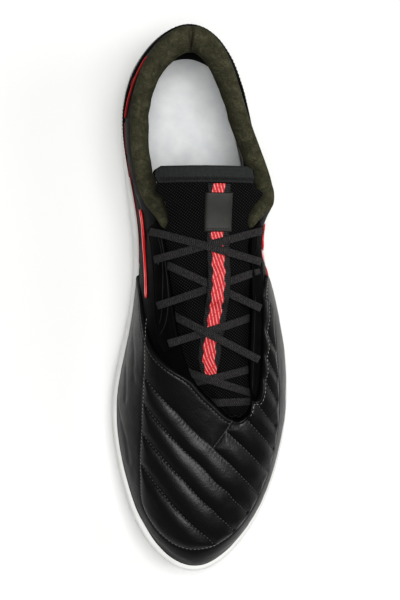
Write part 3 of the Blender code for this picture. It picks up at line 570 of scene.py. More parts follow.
def loft(name, loops, finish, closed=False, **kw):
    """Skin through closed loops of points, with lengths along and round it as its UV map."""
    loops = np.asarray(loops, float)
    count, size = loops.shape[:2]
    round_steps = np.linalg.norm(np.roll(loops, -1, 1) - loops, axis=2)
    around_it = np.concatenate((np.zeros((count, 1)), np.cumsum(round_steps, axis=1)), 1)
    long_steps = np.linalg.norm(np.diff(np.concatenate((loops, loops[:1])), axis=0), axis=2)
    along_it = np.concatenate((np.zeros((1, size)), np.cumsum(long_steps, axis=0)), 0)
    rows = count if closed else count - 1
    i, j = np.meshgrid(np.arange(rows), np.arange(size), indexing="ij")
    after, nxt = (i + 1) % count, (j + 1) % size
    faces = np.stack((i * size + j, i * size + nxt, after * size + nxt, after * size + j), -1).reshape(-1, 4)
    sides = ((i, j, i, j), (i, j + 1, i, nxt), (after, j + 1, i + 1, nxt), (after, j, i + 1, j))
    uvs = np.stack([np.stack((around_it[a, b], along_it[c, d]), -1) for a, b, c, d in sides], 2)
    uvs, faces = uvs.reshape(-1, 2), faces.tolist()
    if not closed:
        extra = []
        for start in (0, (count - 1) * size):
            for step in range(size // 2 - 1):
                extra.append([start + n for n in (step, step + 1, size - 2 - step, size - 1 - step)])
        faces += extra
        flat = loops.reshape(-1, 3)
        uvs = np.concatenate((uvs, flat[np.array(extra).ravel()][:, :2]))
    return add_piece(name, loops.reshape(-1, 3), faces, finish, uvs=uvs, **kw)


def sweep(name, path, up, wide, high, finish, sides=8):
    """Rounded bar along a path, with half its width and half its height at each point."""
    ahead = unit(np.gradient(path, axis=0))
    side = unit(np.cross(ahead, up))
    above = np.cross(side, ahead)
    angle = ((np.arange(sides) + 0.5) / sides * 2 * np.pi)[None, :, None]
    loops = path[:, None] + wide[:, None, None] * np.cos(angle) * side[:, None]
    return loft(name, loops + high[:, None, None] * np.sin(angle) * above[:, None], finish)


def stitches(name, runs, finish, pitch=STITCH_PITCH, share=0.74, half=STITCH):
    """One mesh of short rounded threads along some (path, way out) runs."""
    points, faces = [], []
    sides, sink = 6, 0.1
    ring = np.linspace(0.0, 2.0 * np.pi, sides + 1)[:-1]
    profile = ((-1.0, 0.15), (-0.7, 0.85), (0.0, 1.0), (0.7, 0.85), (1.0, 0.15))
    for path, up in runs:
        run = run_along(path)
        total = max(1, int(run[-1] / pitch))
        for number in range(total):
            centre_at = (number + 0.5) / total * run[-1]
            ends = [np.array([np.interp(centre_at + d, run, path[:, c]) for c in range(3)])
                    for d in (-0.5 * share * pitch, 0.5 * share * pitch)]
            out = np.array([np.interp(centre_at, run, up[:, c]) for c in range(3)])
            ahead = ends[1] - ends[0]
            long = np.linalg.norm(ahead)
            if long < 1e-6:
                continue
            ahead /= long
            side = unit(np.cross(ahead, out))
            above = np.cross(side, ahead)
            middle = 0.5 * (ends[0] + ends[1]) + sink * half * above
            start = len(points)
            for step, size in profile:
                bow = (0.35 - 0.9 * step * step) * half
                for angle in ring:
                    points.append(middle + 0.5 * long * step * ahead + bow * above
                                  + size * half * (np.cos(angle) * side + 0.8 * np.sin(angle) * above))
            for row in range(len(profile) - 1):
                for k in range(sides):
                    a, b = start + row * sides + k, start + row * sides + (k + 1) % sides
                    faces.append((a, b, b + sides, a + sides))
            for first in (start, start + (len(profile) - 1) * sides):
                faces.append(tuple(first + k for k in range(sides)))
    return add_piece(name, points, faces, finish)


def cut_holes(pieces):
    """Round lace holes down both sides of the throat."""
    cutter = bmesh.new()
    for table in HOLES.values():
        for section, share in table:
            place = float(turn(section))
            turned = Vector(facing(place, share)).to_track_quat("Z", "Y").to_matrix().to_4x4()
            turned.translation = Vector(surface(place, share, SYNTHETIC))
            bmesh.ops.create_cone(cutter, cap_ends=True, segments=28, radius1=0.46 * LACE_HOLE,
                                  radius2=0.46 * LACE_HOLE, depth=4.0 * WALL, matrix=turned)
    mesh = bpy.data.meshes.new("holes")
    cutter.to_mesh(mesh)
    cutter.free()
    holes = bpy.data.objects.new("holes", mesh)
    bpy.context.collection.objects.link(holes)
    for piece in pieces:
        cut = piece.modifiers.new("holes", "BOOLEAN")
        cut.operation, cut.solver, cut.object = "DIFFERENCE", "EXACT", holes
        made = bpy.data.meshes.new_from_object(piece.evaluated_get(bpy.context.evaluated_depsgraph_get()))
        piece.modifiers.clear()
        piece.data = made
    bpy.data.objects.remove(holes, do_unlink=True)


# Materials


class Finish:
    """Principled material built up in layers of noise, weave and bump."""

    def __init__(self, name, colour, roughness, **sockets):
        self.material = bpy.data.materials.new(name)
        self.material.use_nodes = True
        self.tree = self.material.node_tree
        self.shader = self.tree.nodes["Principled BSDF"]
        self.set(self.shader, "Base Color", (*colour, 1.0))
        self.set(self.shader, "Roughness", roughness)
        for socket, value in sockets.items():
            self.set(self.shader, socket.replace("_", " "), value)
        self.spot = self.node("ShaderNodeTexCoord").outputs["Object"]
        self.normal = None

    def set(self, node, socket, value):
        if isinstance(value, bpy.types.NodeSocket):
            self.tree.links.new(value, node.inputs[socket])
        else:
            node.inputs[socket].default_value = value

    def node(self, kind, **sockets):
        made = self.tree.nodes.new(kind)
        for key, value in sockets.items():
            self.set(made, key.replace("_", " "), value)
        return made

    def maths(self, operation, a, b=0.0, c=0.0):
        made = self.tree.nodes.new("ShaderNodeMath")
        made.operation = operation
        for index, value in enumerate((a, b, c)):
            self.set(made, index, value)
        return made.outputs[0]

    def turned(self, angle):
        return self.node("ShaderNodeMapping", Vector=self.spot, Rotation=(0.0, 0.0, angle)).outputs[0]

    def along(self):
        """Lengths round and along the piece, from its UV map."""
        return self.node("ShaderNodeSeparateXYZ", Vector=self.node("ShaderNodeUVMap").outputs[0]).outputs

    def noise(self, size, detail=3.0, rough=0.55, warp=0.0):
        made = self.node("ShaderNodeTexNoise", Vector=self.spot, Scale=1.0 / size, Detail=detail,
                         Roughness=rough, Distortion=warp)
        return made.outputs["Fac"]

    def cells(self, size, randomness=1.0):
        made = self.node("ShaderNodeTexVoronoi", Vector=self.spot, Scale=1.0 / size, Randomness=randomness)
        return made.outputs["Distance"]

    def bands(self, period, direction="X", warp=0.0, source=None):
        made = self.node("ShaderNodeTexWave", Vector=source or self.spot,
                         Scale=2 * np.pi / (20.0 * period), Distortion=warp)
        made.bands_direction = direction
        return made.outputs["Fac"]

    def waves(self, value, period):
        """Sine of a length, from -1 to 1, with one wave for each period."""
        return self.maths("SINE", self.maths("MULTIPLY", value, 2 * np.pi / period))

    def between(self, value, low, high):
        return self.node("ShaderNodeMapRange", Value=value, From_Min=low, From_Max=high).outputs[0]

    def ramp(self, value, *stops):
        made = self.node("ShaderNodeValToRGB", Fac=value)
        points = made.color_ramp.elements
        while len(points) < len(stops):
            points.new(0.5)
        for point, (position, colour) in zip(points, stops):
            point.position = position
            point.color = (*colour, 1.0)
        return made.outputs["Color"]

    def paint(self, value, *stops):
        self.set(self.shader, "Base Color", self.ramp(value, *stops))

    def blend(self, share, first, second):
        made = self.tree.nodes.new("ShaderNodeMix")
        made.data_type = "RGBA"
        for index, value in ((0, share), (6, first), (7, second)):
            if not isinstance(value, bpy.types.NodeSocket) and index:
                value = (*value, 1.0)
            self.set(made, index, value)
        return made.outputs[2]

    def roughen(self, value, low, high):
        made = self.node("ShaderNodeMapRange", Value=value, To_Min=low, To_Max=high)
        self.set(self.shader, "Roughness", made.outputs[0])

    def bump(self, height, distance, strength=1.0):
        made = self.node("ShaderNodeBump", Height=height, Distance=distance, Strength=strength)
        if self.normal is not None:
            self.set(made, "Normal", self.normal)
        self.normal = made.outputs["Normal"]
        self.set(self.shader, "Normal", self.normal)
        return self


def leather():
    made = Finish("black_leather", (0.004, 0.004, 0.005), 0.46, Specular_IOR_Level=0.50)
    grain = made.noise(0.0011, 5.0, 0.65, 0.4)
    pores = made.cells(0.0009)
    wear = made.noise(0.014, 3.0)
    made.paint(made.maths("MULTIPLY", grain, wear), (0.10, (0.002, 0.002, 0.0024)),
               (0.36, (0.004, 0.004, 0.0045)), (0.55, (0.008, 0.0078, 0.008)))
    made.roughen(made.noise(0.006, 4.0), 0.41, 0.51)
    made.bump(made.noise(0.0032, 3.0, 0.6, 0.6), 0.00022, 0.55).bump(pores, 0.00012, 0.35)
    made.bump(grain, 0.00014, 0.45)
    return made.material


def synthetic(name, low, high, rough=(0.42, 0.58), gloss=0.06):
    made = Finish(name, low, 0.45, Specular_IOR_Level=gloss)
    grain = made.noise(0.0008, 4.0, 0.6)
    made.paint(made.noise(0.009, 4.0, 0.6), (0.30, low), (0.70, high))
    made.roughen(made.noise(0.005, 3.0), *rough)
    made.bump(grain, 0.00010, 0.35).bump(made.cells(0.0006), 0.00006, 0.25)
    return made.material


def suede():
    made = Finish("olive_suede", (0.026, 0.026, 0.017), 0.95, Sheen_Weight=0.14, Sheen_Roughness=0.45,
                  Sheen_Tint=(0.42, 0.42, 0.27, 1.0), Specular_IOR_Level=0.12)
    nap = made.noise(0.0007, 5.0, 0.7)
    strokes = made.noise(0.0045, 4.0, 0.62, 0.8)
    mixed = made.maths("ADD", made.maths("MULTIPLY", nap, 0.5), made.maths("MULTIPLY", strokes, 0.5))
    made.paint(mixed, (0.32, (0.034, 0.034, 0.024)), (0.52, (0.064, 0.063, 0.045)),
               (0.70, (0.110, 0.108, 0.079)))
    made.bump(strokes, 0.0003, 0.4).bump(nap, 0.00025, 0.75)
    return made.material


def mesh_cloth():
    made = Finish("tongue_twill", (0.006, 0.006, 0.007), 0.85, Sheen_Weight=0.02, Specular_IOR_Level=0.08)
    turned = made.turned(0.62)
    one, two = made.bands(0.00105, "X", 0.3, turned), made.bands(0.00120, "Y", 0.3, turned)
    dots = made.maths("MULTIPLY", one, two)
    made.paint(made.maths("ADD", dots, made.maths("MULTIPLY", made.noise(0.0030), 0.20)),
               (0.12, (0.006, 0.006, 0.0065)), (0.55, (0.019, 0.019, 0.020)), (0.95, (0.048, 0.048, 0.050)))
    made.bump(dots, 0.00035, 0.9).bump(made.noise(0.0006), 0.00010, 0.4)
    return made.material


def knit():
    made = Finish("charcoal_knit", (0.017, 0.018, 0.018), 0.9, Sheen_Weight=0.04, Specular_IOR_Level=0.10)
    rib = made.bands(0.00060, "X", 0.8)
    made.paint(made.maths("MULTIPLY", rib, made.noise(0.0009)), (0.05, (0.032, 0.033, 0.033)),
               (0.55, (0.062, 0.065, 0.065)))
    made.bump(rib, 0.00010, 0.5).bump(made.noise(0.0005), 0.00012, 0.5)
    return made.material


def lace_cloth():
    made = Finish("lace_weave", (0.015, 0.0145, 0.0145), 0.88, Sheen_Weight=0.05, Specular_IOR_Level=0.15)
    parts = made.along()
    chevron = made.maths("PINGPONG", parts[0], 0.0010)
    wave = made.waves(made.maths("ADD", parts[1], chevron), 0.0010)
    thread = made.maths("MULTIPLY_ADD", wave, 0.5, 0.5)
    made.paint(made.maths("MULTIPLY", thread, made.noise(0.0012)), (0.08, (0.022, 0.0212, 0.0212)),
               (0.60, (0.088, 0.085, 0.0845)))
    made.bump(thread, 0.00020, 0.8).bump(made.noise(0.0004), 0.00010, 0.5)
    return made.material


def rubber(name, low, high, rough=(0.45, 0.62)):
    made = Finish(name, high, 0.55)
    made.paint(made.noise(0.020, 4.0, 0.6), (0.35, low), (0.65, high))
    made.roughen(made.noise(0.004, 3.0), *rough)
    made.bump(made.noise(0.0007, 3.0), 0.00008, 0.3)
    return made.material


def liner_cloth():
    made = Finish("insole_cloth", (0.78, 0.80, 0.80), 0.92, Sheen_Weight=0.10)
    made.paint(made.noise(0.010, 4.0, 0.6), (0.35, (0.74, 0.76, 0.77)), (0.65, (0.84, 0.85, 0.85)))
    made.bump(made.noise(0.0006, 4.0, 0.7), 0.00016, 0.5).bump(made.noise(0.012, 2.0), 0.0006, 0.25)
    return made.material


def lining_and_shade_cloth():
    # Near-black: a dark lining, and also painted shade inside the heel and under the collar
    made = Finish("black_lining_and_shade", (0.010, 0.010, 0.010), 0.95, Sheen_Weight=0.02, Specular_IOR_Level=0.06)
    net = made.cells(0.0011, 0.15)
    made.paint(made.maths("ADD", net, made.maths("MULTIPLY", made.noise(0.006), 0.3)),
               (0.2, (0.012, 0.012, 0.012)), (0.8, (0.005, 0.005, 0.005)))
    made.bump(net, 0.00020, 0.6).bump(made.noise(0.0005), 0.00008, 0.4)
    return made.material


def thread(name, colour):
    made = Finish(name, colour, 0.7)
    made.paint(made.noise(0.0006), (0.3, tuple(0.75 * c for c in colour)), (0.7, colour))
    made.bump(made.bands(0.0003, "DIAGONAL"), 0.00006, 0.5)
    return made.material


def red_rubber(name, colour, pale):
    made = Finish(name, colour, 0.38)
    made.paint(made.noise(0.004, 3.0), (0.30, colour), (0.75, pale))
    made.bump(made.noise(0.0008), 0.00006, 0.4)
    return made.material


def tape_weave():
    """Charcoal band with a red zone of slanted pale strokes, like a flat twisted rope."""
    made = Finish("red_tape_weave", (0.60, 0.03, 0.034), 0.75)
    parts = made.along()
    across = made.maths("SUBTRACT", parts[0], 0.5 * TAPE_WIDTH)
    wobble = made.maths("MULTIPLY", made.maths("SUBTRACT", made.noise(0.0016), 0.5), 0.0005)
    slant = made.maths("ADD", parts[1], made.maths("MULTIPLY", across, -1.1))
    inside = made.maths("MODULO", slant, TAPE_ROPE)
    phase = made.maths("ADD", made.maths("MULTIPLY_ADD", parts[1], 0.31, across), wobble)
    strokes = made.between(made.waves(phase, TAPE_STROKE), 0.05, 0.85)
    strokes = made.maths("MULTIPLY", strokes, made.between(inside, 0.0001, 0.0010))
    red = made.ramp(made.noise(0.0010), (0.30, (0.38, 0.024, 0.030)), (0.70, (0.50, 0.038, 0.044)))
    striped = made.blend(made.maths("MULTIPLY", strokes, 0.75), red, (0.90, 0.30, 0.29))
    shift = made.maths("MULTIPLY", made.waves(inside, TAPE_ROPE), 0.00035)
    far = made.maths("ABSOLUTE", made.maths("ADD", across, made.maths("ADD", shift, wobble)))
    zone = made.between(far, TAPE_RED, TAPE_RED + 0.0003)
    ribs = made.maths("MULTIPLY_ADD", made.waves(parts[1], 0.0011), 0.5, 0.5)
    border = made.ramp(ribs, (0.2, (0.010, 0.010, 0.0105)), (0.9, (0.034, 0.034, 0.035)))
    made.set(made.shader, "Base Color", made.blend(zone, striped, border))
    made.bump(strokes, 0.00030, 0.8).bump(made.noise(0.0005), 0.00010, 0.4)
    return made.material


# Sole


def lengthwise(inset, middle_gap, end_rows, middle_rows):
    """Tip, back and rows from one to the other of a flat piece inside the sole's edge, closer at the ends."""
    tip = read("y", float(TOE)) * LENGTH - RIM + inset
    back = read("y", 0.0) * LENGTH + RIM - inset
    ends = END_ROUND * (1.0 - np.cos(np.linspace(0.0, np.pi / 2, end_rows)))
    middle = np.linspace(tip + middle_gap, back - middle_gap, middle_rows)
    return tip, back, np.concatenate((tip + ends, middle, back - ends[::-1]))


def build_sole(white, tread):
    place = stations(280)
    foot, out = outline(place)
    base = ground(foot[:, 1]) + OUTSOLE + GAP
    rim = sole_rim(foot[:, 1])
    loops = []
    for height, step in SIDE_PROFILE:
        plan = foot + (RIM - step) * out
        loops.append(np.column_stack((plan, base + height * (rim - base))))
    top = surface(place, level(place, rim), GAP)
    loops.append(np.column_stack((top[:, :2], rim - 0.0004)))
    for part in (0.66, 0.33):
        height = part * rim + (1.0 - part) * sole_floor(foot[:, 1])
        loops.append(surface(place, level(place, height), GAP))
    loops.append(np.column_stack((foot + GAP * out, sole_floor(foot[:, 1]))))
    loft("sole_wall", loops, white, slot="white_rubber", replaced=("midsole",), crease=50)
    tip, back, rows = lengthwise(OUTSOLE_INSET, 0.0165, 14, 400)
    centres = np.concatenate([np.linspace(*span) * LENGTH for span in (HEEL_GROOVES, FOREFOOT_GROOVES)])
    across = crowded(36)
    loops = []
    for y in rows:
        sides = [width_at(y, OUTSOLE_INSET + inset) for inset in (0.0012, 0.0003, 0.0)]
        line = np.full_like(across, y)
        x = sides[0][0] + 0.5 * (1.0 + across) * (sides[0][1] - sides[0][0])
        bow = GROOVE_BOW * (1.0 - across ** 2) * min(1.0, (y - tip) / 0.02, (back - y) / 0.02)
        off = np.min(np.abs(line + bow - centres[:, None]), axis=0)
        cut = LUG_DEPTH * np.clip(1.0 - (off - 0.5 * GROOVE) / 0.0007, 0.0, 1.0)
        zigzag = 0.5 * TREAD_WAVE * np.abs((x / TREAD_ZIGZAG) % 2 - 1)
        wave = np.sin((line + bow + zigzag) * 2 * np.pi / TREAD_WAVE)
        lug = (off < 0.016) & (off > 0.5 * GROOVE + 0.0012)
        fine = np.where(lug & (np.abs(across) < 0.93), TREAD_DEPTH * np.clip(wave * 2 - 0.6, 0.0, 1.0), 0.0)
        low = np.column_stack((x, line, ground(line) + np.maximum(cut, fine)))
        walls = [[(side[index], y, float(ground(y)) + lift) for side, lift in
                  zip(sides[1:] + sides[2:], (0.0003, 0.0014, OUTSOLE))] for index in (1, 0)]
        top_row = np.column_stack((x, line, ground(line) + OUTSOLE))[::-1]
        loops.append(np.concatenate((low, walls[0], top_row, walls[1][::-1])))
    loft("tread", loops, tread, slot="outsole_rubber", replaced=("outsole",), crease=40)


def build_insole(finish):
    inset = RIM + WALL + INSOLE_CLEARANCE
    tip, _, rows = lengthwise(inset, 0.0175, 12, 150)
    across = crowded(40)
    loops = []
    for y in rows:
        medial, lateral = width_at(y, inset)
        x = medial + 0.5 * (1.0 + across) * (lateral - medial)
        line = np.full_like(x, y)
        low = sole_floor(line) + GAP
        cup = INSOLE_CUP * np.abs(across) ** 4 * np.clip((y - tip) / 0.10, 0.0, 1.0)
        edge = 0.0012 * np.clip((np.abs(across) - 0.97) / 0.03, 0.0, 1.0) ** 2
        top = np.column_stack((x, line, low + INSOLE + cup - edge))
        top[:, 2] += 0.00025 * bumps(top, 0.016, 4)
        loops.append(np.concatenate((np.column_stack((x, line, low)), top[::-1])))
    loft("sock_liner", loops, finish, slot="insole_fabric", replaced=("insole",), crease=50)


# Upper and overlays


def build_shell(finish, lining):
    place = stations(260)
    shares = np.linspace(0.0, 1.0, 70)
    outer = surface(place[:, None], shares)
    relief = 0.00018 * bumps(outer, 0.017, 3) + creases(outer, SHELL_CREASES)
    outer += facing(place[:, None], shares) * relief[..., None]
    rim = [surface(place, 1.0, -WALL * part) + 0.0004 * np.array(UP) * np.sin(np.pi * part)
           for part in (0.25, 0.5, 0.75)]
    inner = surface(place[:, None], 1.0 - np.linspace(0.0, 1.0, 22) ** 1.6, -WALL)
    inner[:, -1, 2] = sole_floor(inner[:, -1, 1]) + GAP
    loops = np.concatenate((outer, np.stack(rim, 1), inner), 1)
    shell = loft("shell", loops.swapaxes(0, 1), finish, closed=True, slot="quarter_synthetic",
                 replaced=("upper",), crease=55)
    shell.data.materials.append(lining)
    inside = (len(shares) + len(rim)) * len(place)
    for face in shell.data.polygons[inside:]:
        face.material_index = 1
    return shell


def build_heel_shade_lining(lining):
    """Padded black lining inside the heel, from under the collar down to the insole; its black is also
    painted shade under the collar.
    """
    place = np.linspace(-1.30, 1.30, 90)
    shares = np.linspace(0.02, 0.66, 24)
    fade = np.cos(place / 1.30 * np.pi / 2)[:, None] ** 0.7
    full = HEEL_LINING * fade * (1.0 - ((shares - 0.30) / 0.36) ** 2 * 0.55)
    wall = surface(place[:, None], shares, -(WALL + GAP))
    face = surface(place[:, None], shares[::-1], -(WALL + 2.0 * GAP) - full[:, ::-1])
    loft("heel_shade_lining", np.concatenate((wall, face), 1), lining)


def overlay(name, place, low, high, rows, thickness, finish, relief=None, **kw):
    """Panel on the shell from the share low to the share high, its edges rounded down to the shell."""
    share = low[:, None] + (1.0 - np.cos(np.linspace(0.0, np.pi, rows))) * 0.5 * (high - low)[:, None]
    skin = surface(place[:, None], share)
    up = facing(place[:, None], share)

    def run(axis):
        step = np.linalg.norm(np.diff(skin, axis=axis), axis=2)
        start = np.zeros_like(step.take([0], axis))
        forward = np.concatenate((start, np.cumsum(step, axis)), axis)
        return np.minimum(forward, forward.take([-1], axis) - forward)

    border = np.minimum(run(1), run(0))
    near = np.clip(border / EDGE_ROUND, 0.0, 1.0)
    rise = 0.00008 + thickness * np.sqrt(1.0 - (1.0 - near) ** 2)
    if relief is not None:
        rise = rise + near * relief(skin + thickness * up, place[:, None], share, border)
    outer = skin + rise[..., None] * up
    inner = skin[:, ::-6] - 0.00005 * up[:, ::-6]
    if (outer.shape[1] + inner.shape[1]) % 2:
        inner = np.concatenate((inner[:, :-1], 0.5 * (inner[:, -2:-1] + inner[:, -1:]), inner[:, -1:]), 1)
    steps = np.linalg.norm(np.diff(skin[:, ::-1], axis=1), axis=2)
    down = np.concatenate((np.zeros((len(steps), 1)), np.cumsum(steps, 1)), 1)

    def row(distance, keep):
        """Line on the panel that runs a distance inside its upper edge."""
        path = [[np.interp(distance, d, line[::-1, c]) for c in range(3)]
                for d, line in zip(down[keep], outer[keep])]
        return np.array(path), up[keep, -1]

    return loft(name, np.concatenate((outer, inner), 1), finish, crease=60, **kw), row


def sewn(far, depth, reach, round_off=1.0):
    """Height beside a row of stitches: down at the thread, then up to a full round puff."""
    part = np.clip(far / reach, 0.0, 1.0)
    return depth * ((1.0 - (1.0 - part) ** 2) ** (0.5 * round_off) - 1.0)


def sewn_edge(ripple, size, seed):
    """Relief of a panel with a dip beside its edge, where it is sewn."""

    def relief(points, where, share, border):
        return sewn(np.abs(border - EDGE_DIP), 0.0003, 0.0010) + ripple * bumps(points, size, seed)

    return relief


def build_vamp(finish, thread_light, thread_dark):
    first, final = VAMP_LATERAL[-1][0], float(turn(VAMP_MEDIAL[0][0]))
    spread = stations(4000)
    spread = spread[(spread > first) & (spread < final)]
    place = np.interp(np.linspace(0, 1, 540), np.linspace(0, 1, len(spread)), spread)
    low = np.maximum(rim_share(place) - RIM_TUCK, edge_line(VAMP_REAR)(place))
    edge = edge_line(VAMP_LATERAL, VAMP_MEDIAL)(place)
    top = np.where(place > TOE, soft(edge, 18), soft(edge, 9))
    high = np.maximum(np.minimum(top, 1.0), low + 0.02)
    perimeter, strip_line, seam = (curve_on(line, LEATHER) for line in (PERIMETER, STRIP_LINE, V_SEAM))
    quilt = [curve_on(line, LEATHER) for line in QUILT_LINES]
    rim_line = edge_line(PERIMETER, RIM_CORNERS)
    strip_low = edge_line(STRIP_LINE)
    seam_places = [float(turn(section)) for section, _ in V_SEAM]

    def relief(points, where, share, border):
        far, along = distance_to(points, *(path for path, _ in quilt), perimeter[0], seam[0], strip_line[0])
        inside = np.clip((share - rim_line(where)) / 0.02 + 0.5, 0.0, 1.0)
        beyond = where - np.interp(share, [row[1] for row in V_SEAM], seam_places)
        strip = np.clip((share - strip_low(where)) / 0.01, 0.0, 1.0) * np.clip(beyond / 0.05, 0.0, 1.0)
        puff = PUFF * (1.0 - 0.55 * strip)
        lift = inside * (puff + sewn(far, puff, PUFF_REACH, 1.6))
        lift = lift + (1.0 - inside) * sewn(far, 0.0008, 0.0030)
        pull = np.exp(-(far / 0.0014) ** 2) * np.cos(along * 2 * np.pi / STITCH_PITCH) * 0.00007
        crinkle = np.exp(-((far - 0.0022) / 0.0018) ** 2) * bumps(points, 0.0030, 7) * 0.00005
        edge_row = sewn(np.abs(border - EDGE_ROW), 0.00040, 0.0012)
        waves = 0.00030 * bumps(points, 0.012, 5) + 0.00008 * bumps(points, 0.0040, 6)
        return lift + pull + crinkle + edge_row + waves + creases(points, LEATHER_CREASES)

    piece, row = overlay("vamp_leather", place, low, high, 146, LEATHER, finish, relief,
                         slot="vamp_leather", replaced=("vamp",))
    cover = tree_of(piece)
    dark_runs = [drop(*run, cover) for run in quilt + [strip_line, seam]]
    dark_runs.append(row(EDGE_ROW, place > seam_places[-1]))
    stitches("vamp_stitches", dark_runs, thread_dark)
    stitches("vamp_edge_stitches", [drop(*perimeter, cover), row(EDGE_ROW, place < 8.6)], thread_light)
    return piece


def drop(path, way, cover):
    """Lays a path on a piece, along the way out at each of its points."""
    laid = []
    for point, out in zip(path, way):
        hit = cover.ray_cast(Vector(point + 0.006 * out), Vector(-out), 0.012)[0]
        laid.append(np.array(hit) if hit is not None else point)
    return np.array(laid), way


def build_stays(finish):
    seam = 0.0006 / INSTEP_HEIGHT
    vamp_top = edge_line(VAMP_LATERAL, VAMP_MEDIAL)
    made = []
    for side, table, first, final in (("medial", EYESTAY_MEDIAL, -6.66, -4.66),
                                      ("lateral", EYESTAY_LATERAL, 4.66, 7.60)):
        place = np.linspace(*sorted((float(turn(first)), float(turn(final)))), 260)
        own = soft(edge_line(table)(place), 9)
        covered = (place > VAMP_LATERAL[-1][0]) & (place < float(turn(VAMP_MEDIAL[0][0])))
        low = np.where(covered, np.maximum(own, vamp_top(place) + 2.0 * seam), own)
        piece, _ = overlay(f"stay_{side}", place, low, np.ones_like(place), 44, SYNTHETIC, finish,
                           sewn_edge(0.00012, 0.006, 8), slot="stay_synthetic", replaced=(f"eyestay_{side}",))
        made.append(piece)
    return made


def build_counter(finish, stitch):
    place = np.linspace(-3.10, 3.10, 320)
    rows = sorted(list(COUNTER_TOP) + [(-section, share) for section, share in COUNTER_TOP[1:]])
    top = soft(np.interp(place, [row[0] for row in rows], [row[1] for row in rows]), 13)
    low = rim_share(place % (2.0 * TOE)) - RIM_TUCK
    high = np.maximum(top, low + 0.05)
    _, row = overlay("counter_panel", place, low, high, 50, COUNTER, finish, sewn_edge(0.00015, 0.009, 9),
                     slot="counter_synthetic", replaced=("heel_counter",))
    stitches("counter_stitches", [row(EDGE_ROW, np.abs(place) < 2.9)], stitch)


def collar_loops(place):
    """Closed sections of the collar padding, as in the solid model, smoothed and made finer."""
    wall = WALL + COLLAR_CLEARANCE
    full = 1.0 - 0.55 * np.clip((np.abs(place) - COLLAR_TAPER) / (COLLAR_FRONT - COLLAR_TAPER), 0.0, 1.0) ** 2
    heel = 1.0 + COLLAR_HEEL * np.cos(np.clip(place / 2.0, -1.0, 1.0) * np.pi / 2) ** 2
    pad, rise, depth = COLLAR_PAD * full * heel, COLLAR_RISE * full, COLLAR_DEPTH * full
    width, flush = wall + pad, np.zeros_like(full)
    section = ((-depth, flush + wall), (-0.76 * depth, flush + wall), (-0.42 * depth, flush + wall),
               (-0.12 * depth, flush + wall), (flush + GAP, flush + wall), (flush + GAP, flush + 0.5 * wall),
               (flush + GAP, flush), (0.45 * rise, -0.06 * width), (0.85 * rise, 0.12 * width),
               (rise, 0.42 * width), (0.86 * rise, 0.76 * width), (0.40 * rise, 0.98 * width),
               (-0.12 * depth, wall + 0.97 * pad), (-0.42 * depth, wall + 0.70 * pad),
               (-0.76 * depth, wall + 0.42 * pad), (-depth, wall + LINING * full))
    edge = surface(place, 1.0)
    up = edge - last(place, 0.98)
    up[:, :2] *= 0.5
    up = unit(up)
    out = facing(place, 1.0)
    points = []
    for high, deep in section:
        if high[0] > 0.0:
            points.append(edge + high[:, None] * up - deep[:, None] * out)
        else:
            points.append(surface(place, below_edge(place, -high), -deep))
    hidden, shown = np.stack(points[:6], 1), np.stack(points[6:], 1)
    fine = spline(shown.swapaxes(0, 1), np.linspace(0.0, shown.shape[1] - 1.0, 58), closed=False)
    return np.concatenate((hidden, fine.swapaxes(0, 1)), 1)


def build_collar(finish):
    place = np.linspace(-COLLAR_FRONT + 0.06, COLLAR_FRONT - 0.06, 460)
    loops = collar_loops(place)
    middle = loops.mean(1, keepdims=True)
    ahead = loops - middle
    shown = np.zeros(loops.shape[1])
    shown[6:] = np.sin(np.linspace(0.12, 3.0, loops.shape[1] - 6))
    out = unit(ahead)
    lumps = 0.00055 * bumps(loops, 0.013, 11) + 0.00022 * bumps(loops, 0.004, 12)
    back = np.exp(-(place / 0.075) ** 2)[:, None]
    down = np.clip((np.arange(loops.shape[1]) - 6.0) / (loops.shape[1] - 7.0), 0.0, 1.0)
    roll = np.clip((0.62 - down) / 0.10, 0.0, 1.0)
    fold = (-0.0026 * back - 0.0007 * np.exp(-(place / 0.34) ** 2)[:, None]) * roll
    fold = fold + 0.0042 * np.exp(-(place / 0.42) ** 2)[:, None] * np.exp(-((down - 0.80) / 0.12) ** 2)
    for at, depth in COLLAR_FOLDS:
        fold = fold - depth * np.exp(-((place - at) / 0.10) ** 2)[:, None]
    loops = loops + out * ((lumps + fold) * shown)[..., None]
    run = run_along(middle[:, 0])
    near = np.clip(np.minimum(run, run[-1] - run) / 0.0040, 0.0, 1.0)
    close = np.sqrt(np.maximum(1.0 - (1.0 - near) ** 2, 0.02))[:, None, None]
    middle = loops.mean(1, keepdims=True)
    loops = middle + (loops - middle) * close
    return loft("collar_roll", loops, finish, slot="collar_suede", replaced=("collar",))


# Tongue


def tree_of(*pieces):
    points, faces = [], []
    for piece in pieces:
        start = len(points)
        points += [vertex.co.copy() for vertex in piece.data.vertices]
        faces += [[start + index for index in face.vertices] for face in piece.data.polygons]
    return BVHTree.FromPolygons(points, faces)


def under(cover, x, y):
    lowest = np.inf
    for dx, dy in ((0.0, 0.0), (0.0026, 0.0), (-0.0026, 0.0), (0.0, 0.0026), (0.0, -0.0026)):
        hit = cover.ray_cast(Vector((x + dx, y + dy, 0.5 * INSTEP_HEIGHT)), Vector(UP))[0]
        if hit is not None:
            lowest = min(lowest, hit.z)
    return lowest


def over(cover, x, y, reach=0.0):
    highest = 0.0
    for dx in {-reach, 0.0, reach}:
        hit = cover.ray_cast(Vector((x + dx, y, 2.0 * INSTEP_HEIGHT)), -Vector(UP))[0]
        if hit is not None:
            highest = max(highest, hit.z)
    return highest


def reach_to(cover, start, way, least, most):
    """Shortest distance along level lines to a piece, or the least one where they meet none in time."""
    found = [cover.ray_cast(Vector(start) - down * Vector(UP), Vector((way, 0.0, 0.0)), most)[3]
             for down in (0.001, 0.003, 0.005, 0.009, 0.014)]
    found = [far for far in found if far is not None]
    return max(least, min(found) + TONGUE_PRESS) if found else least


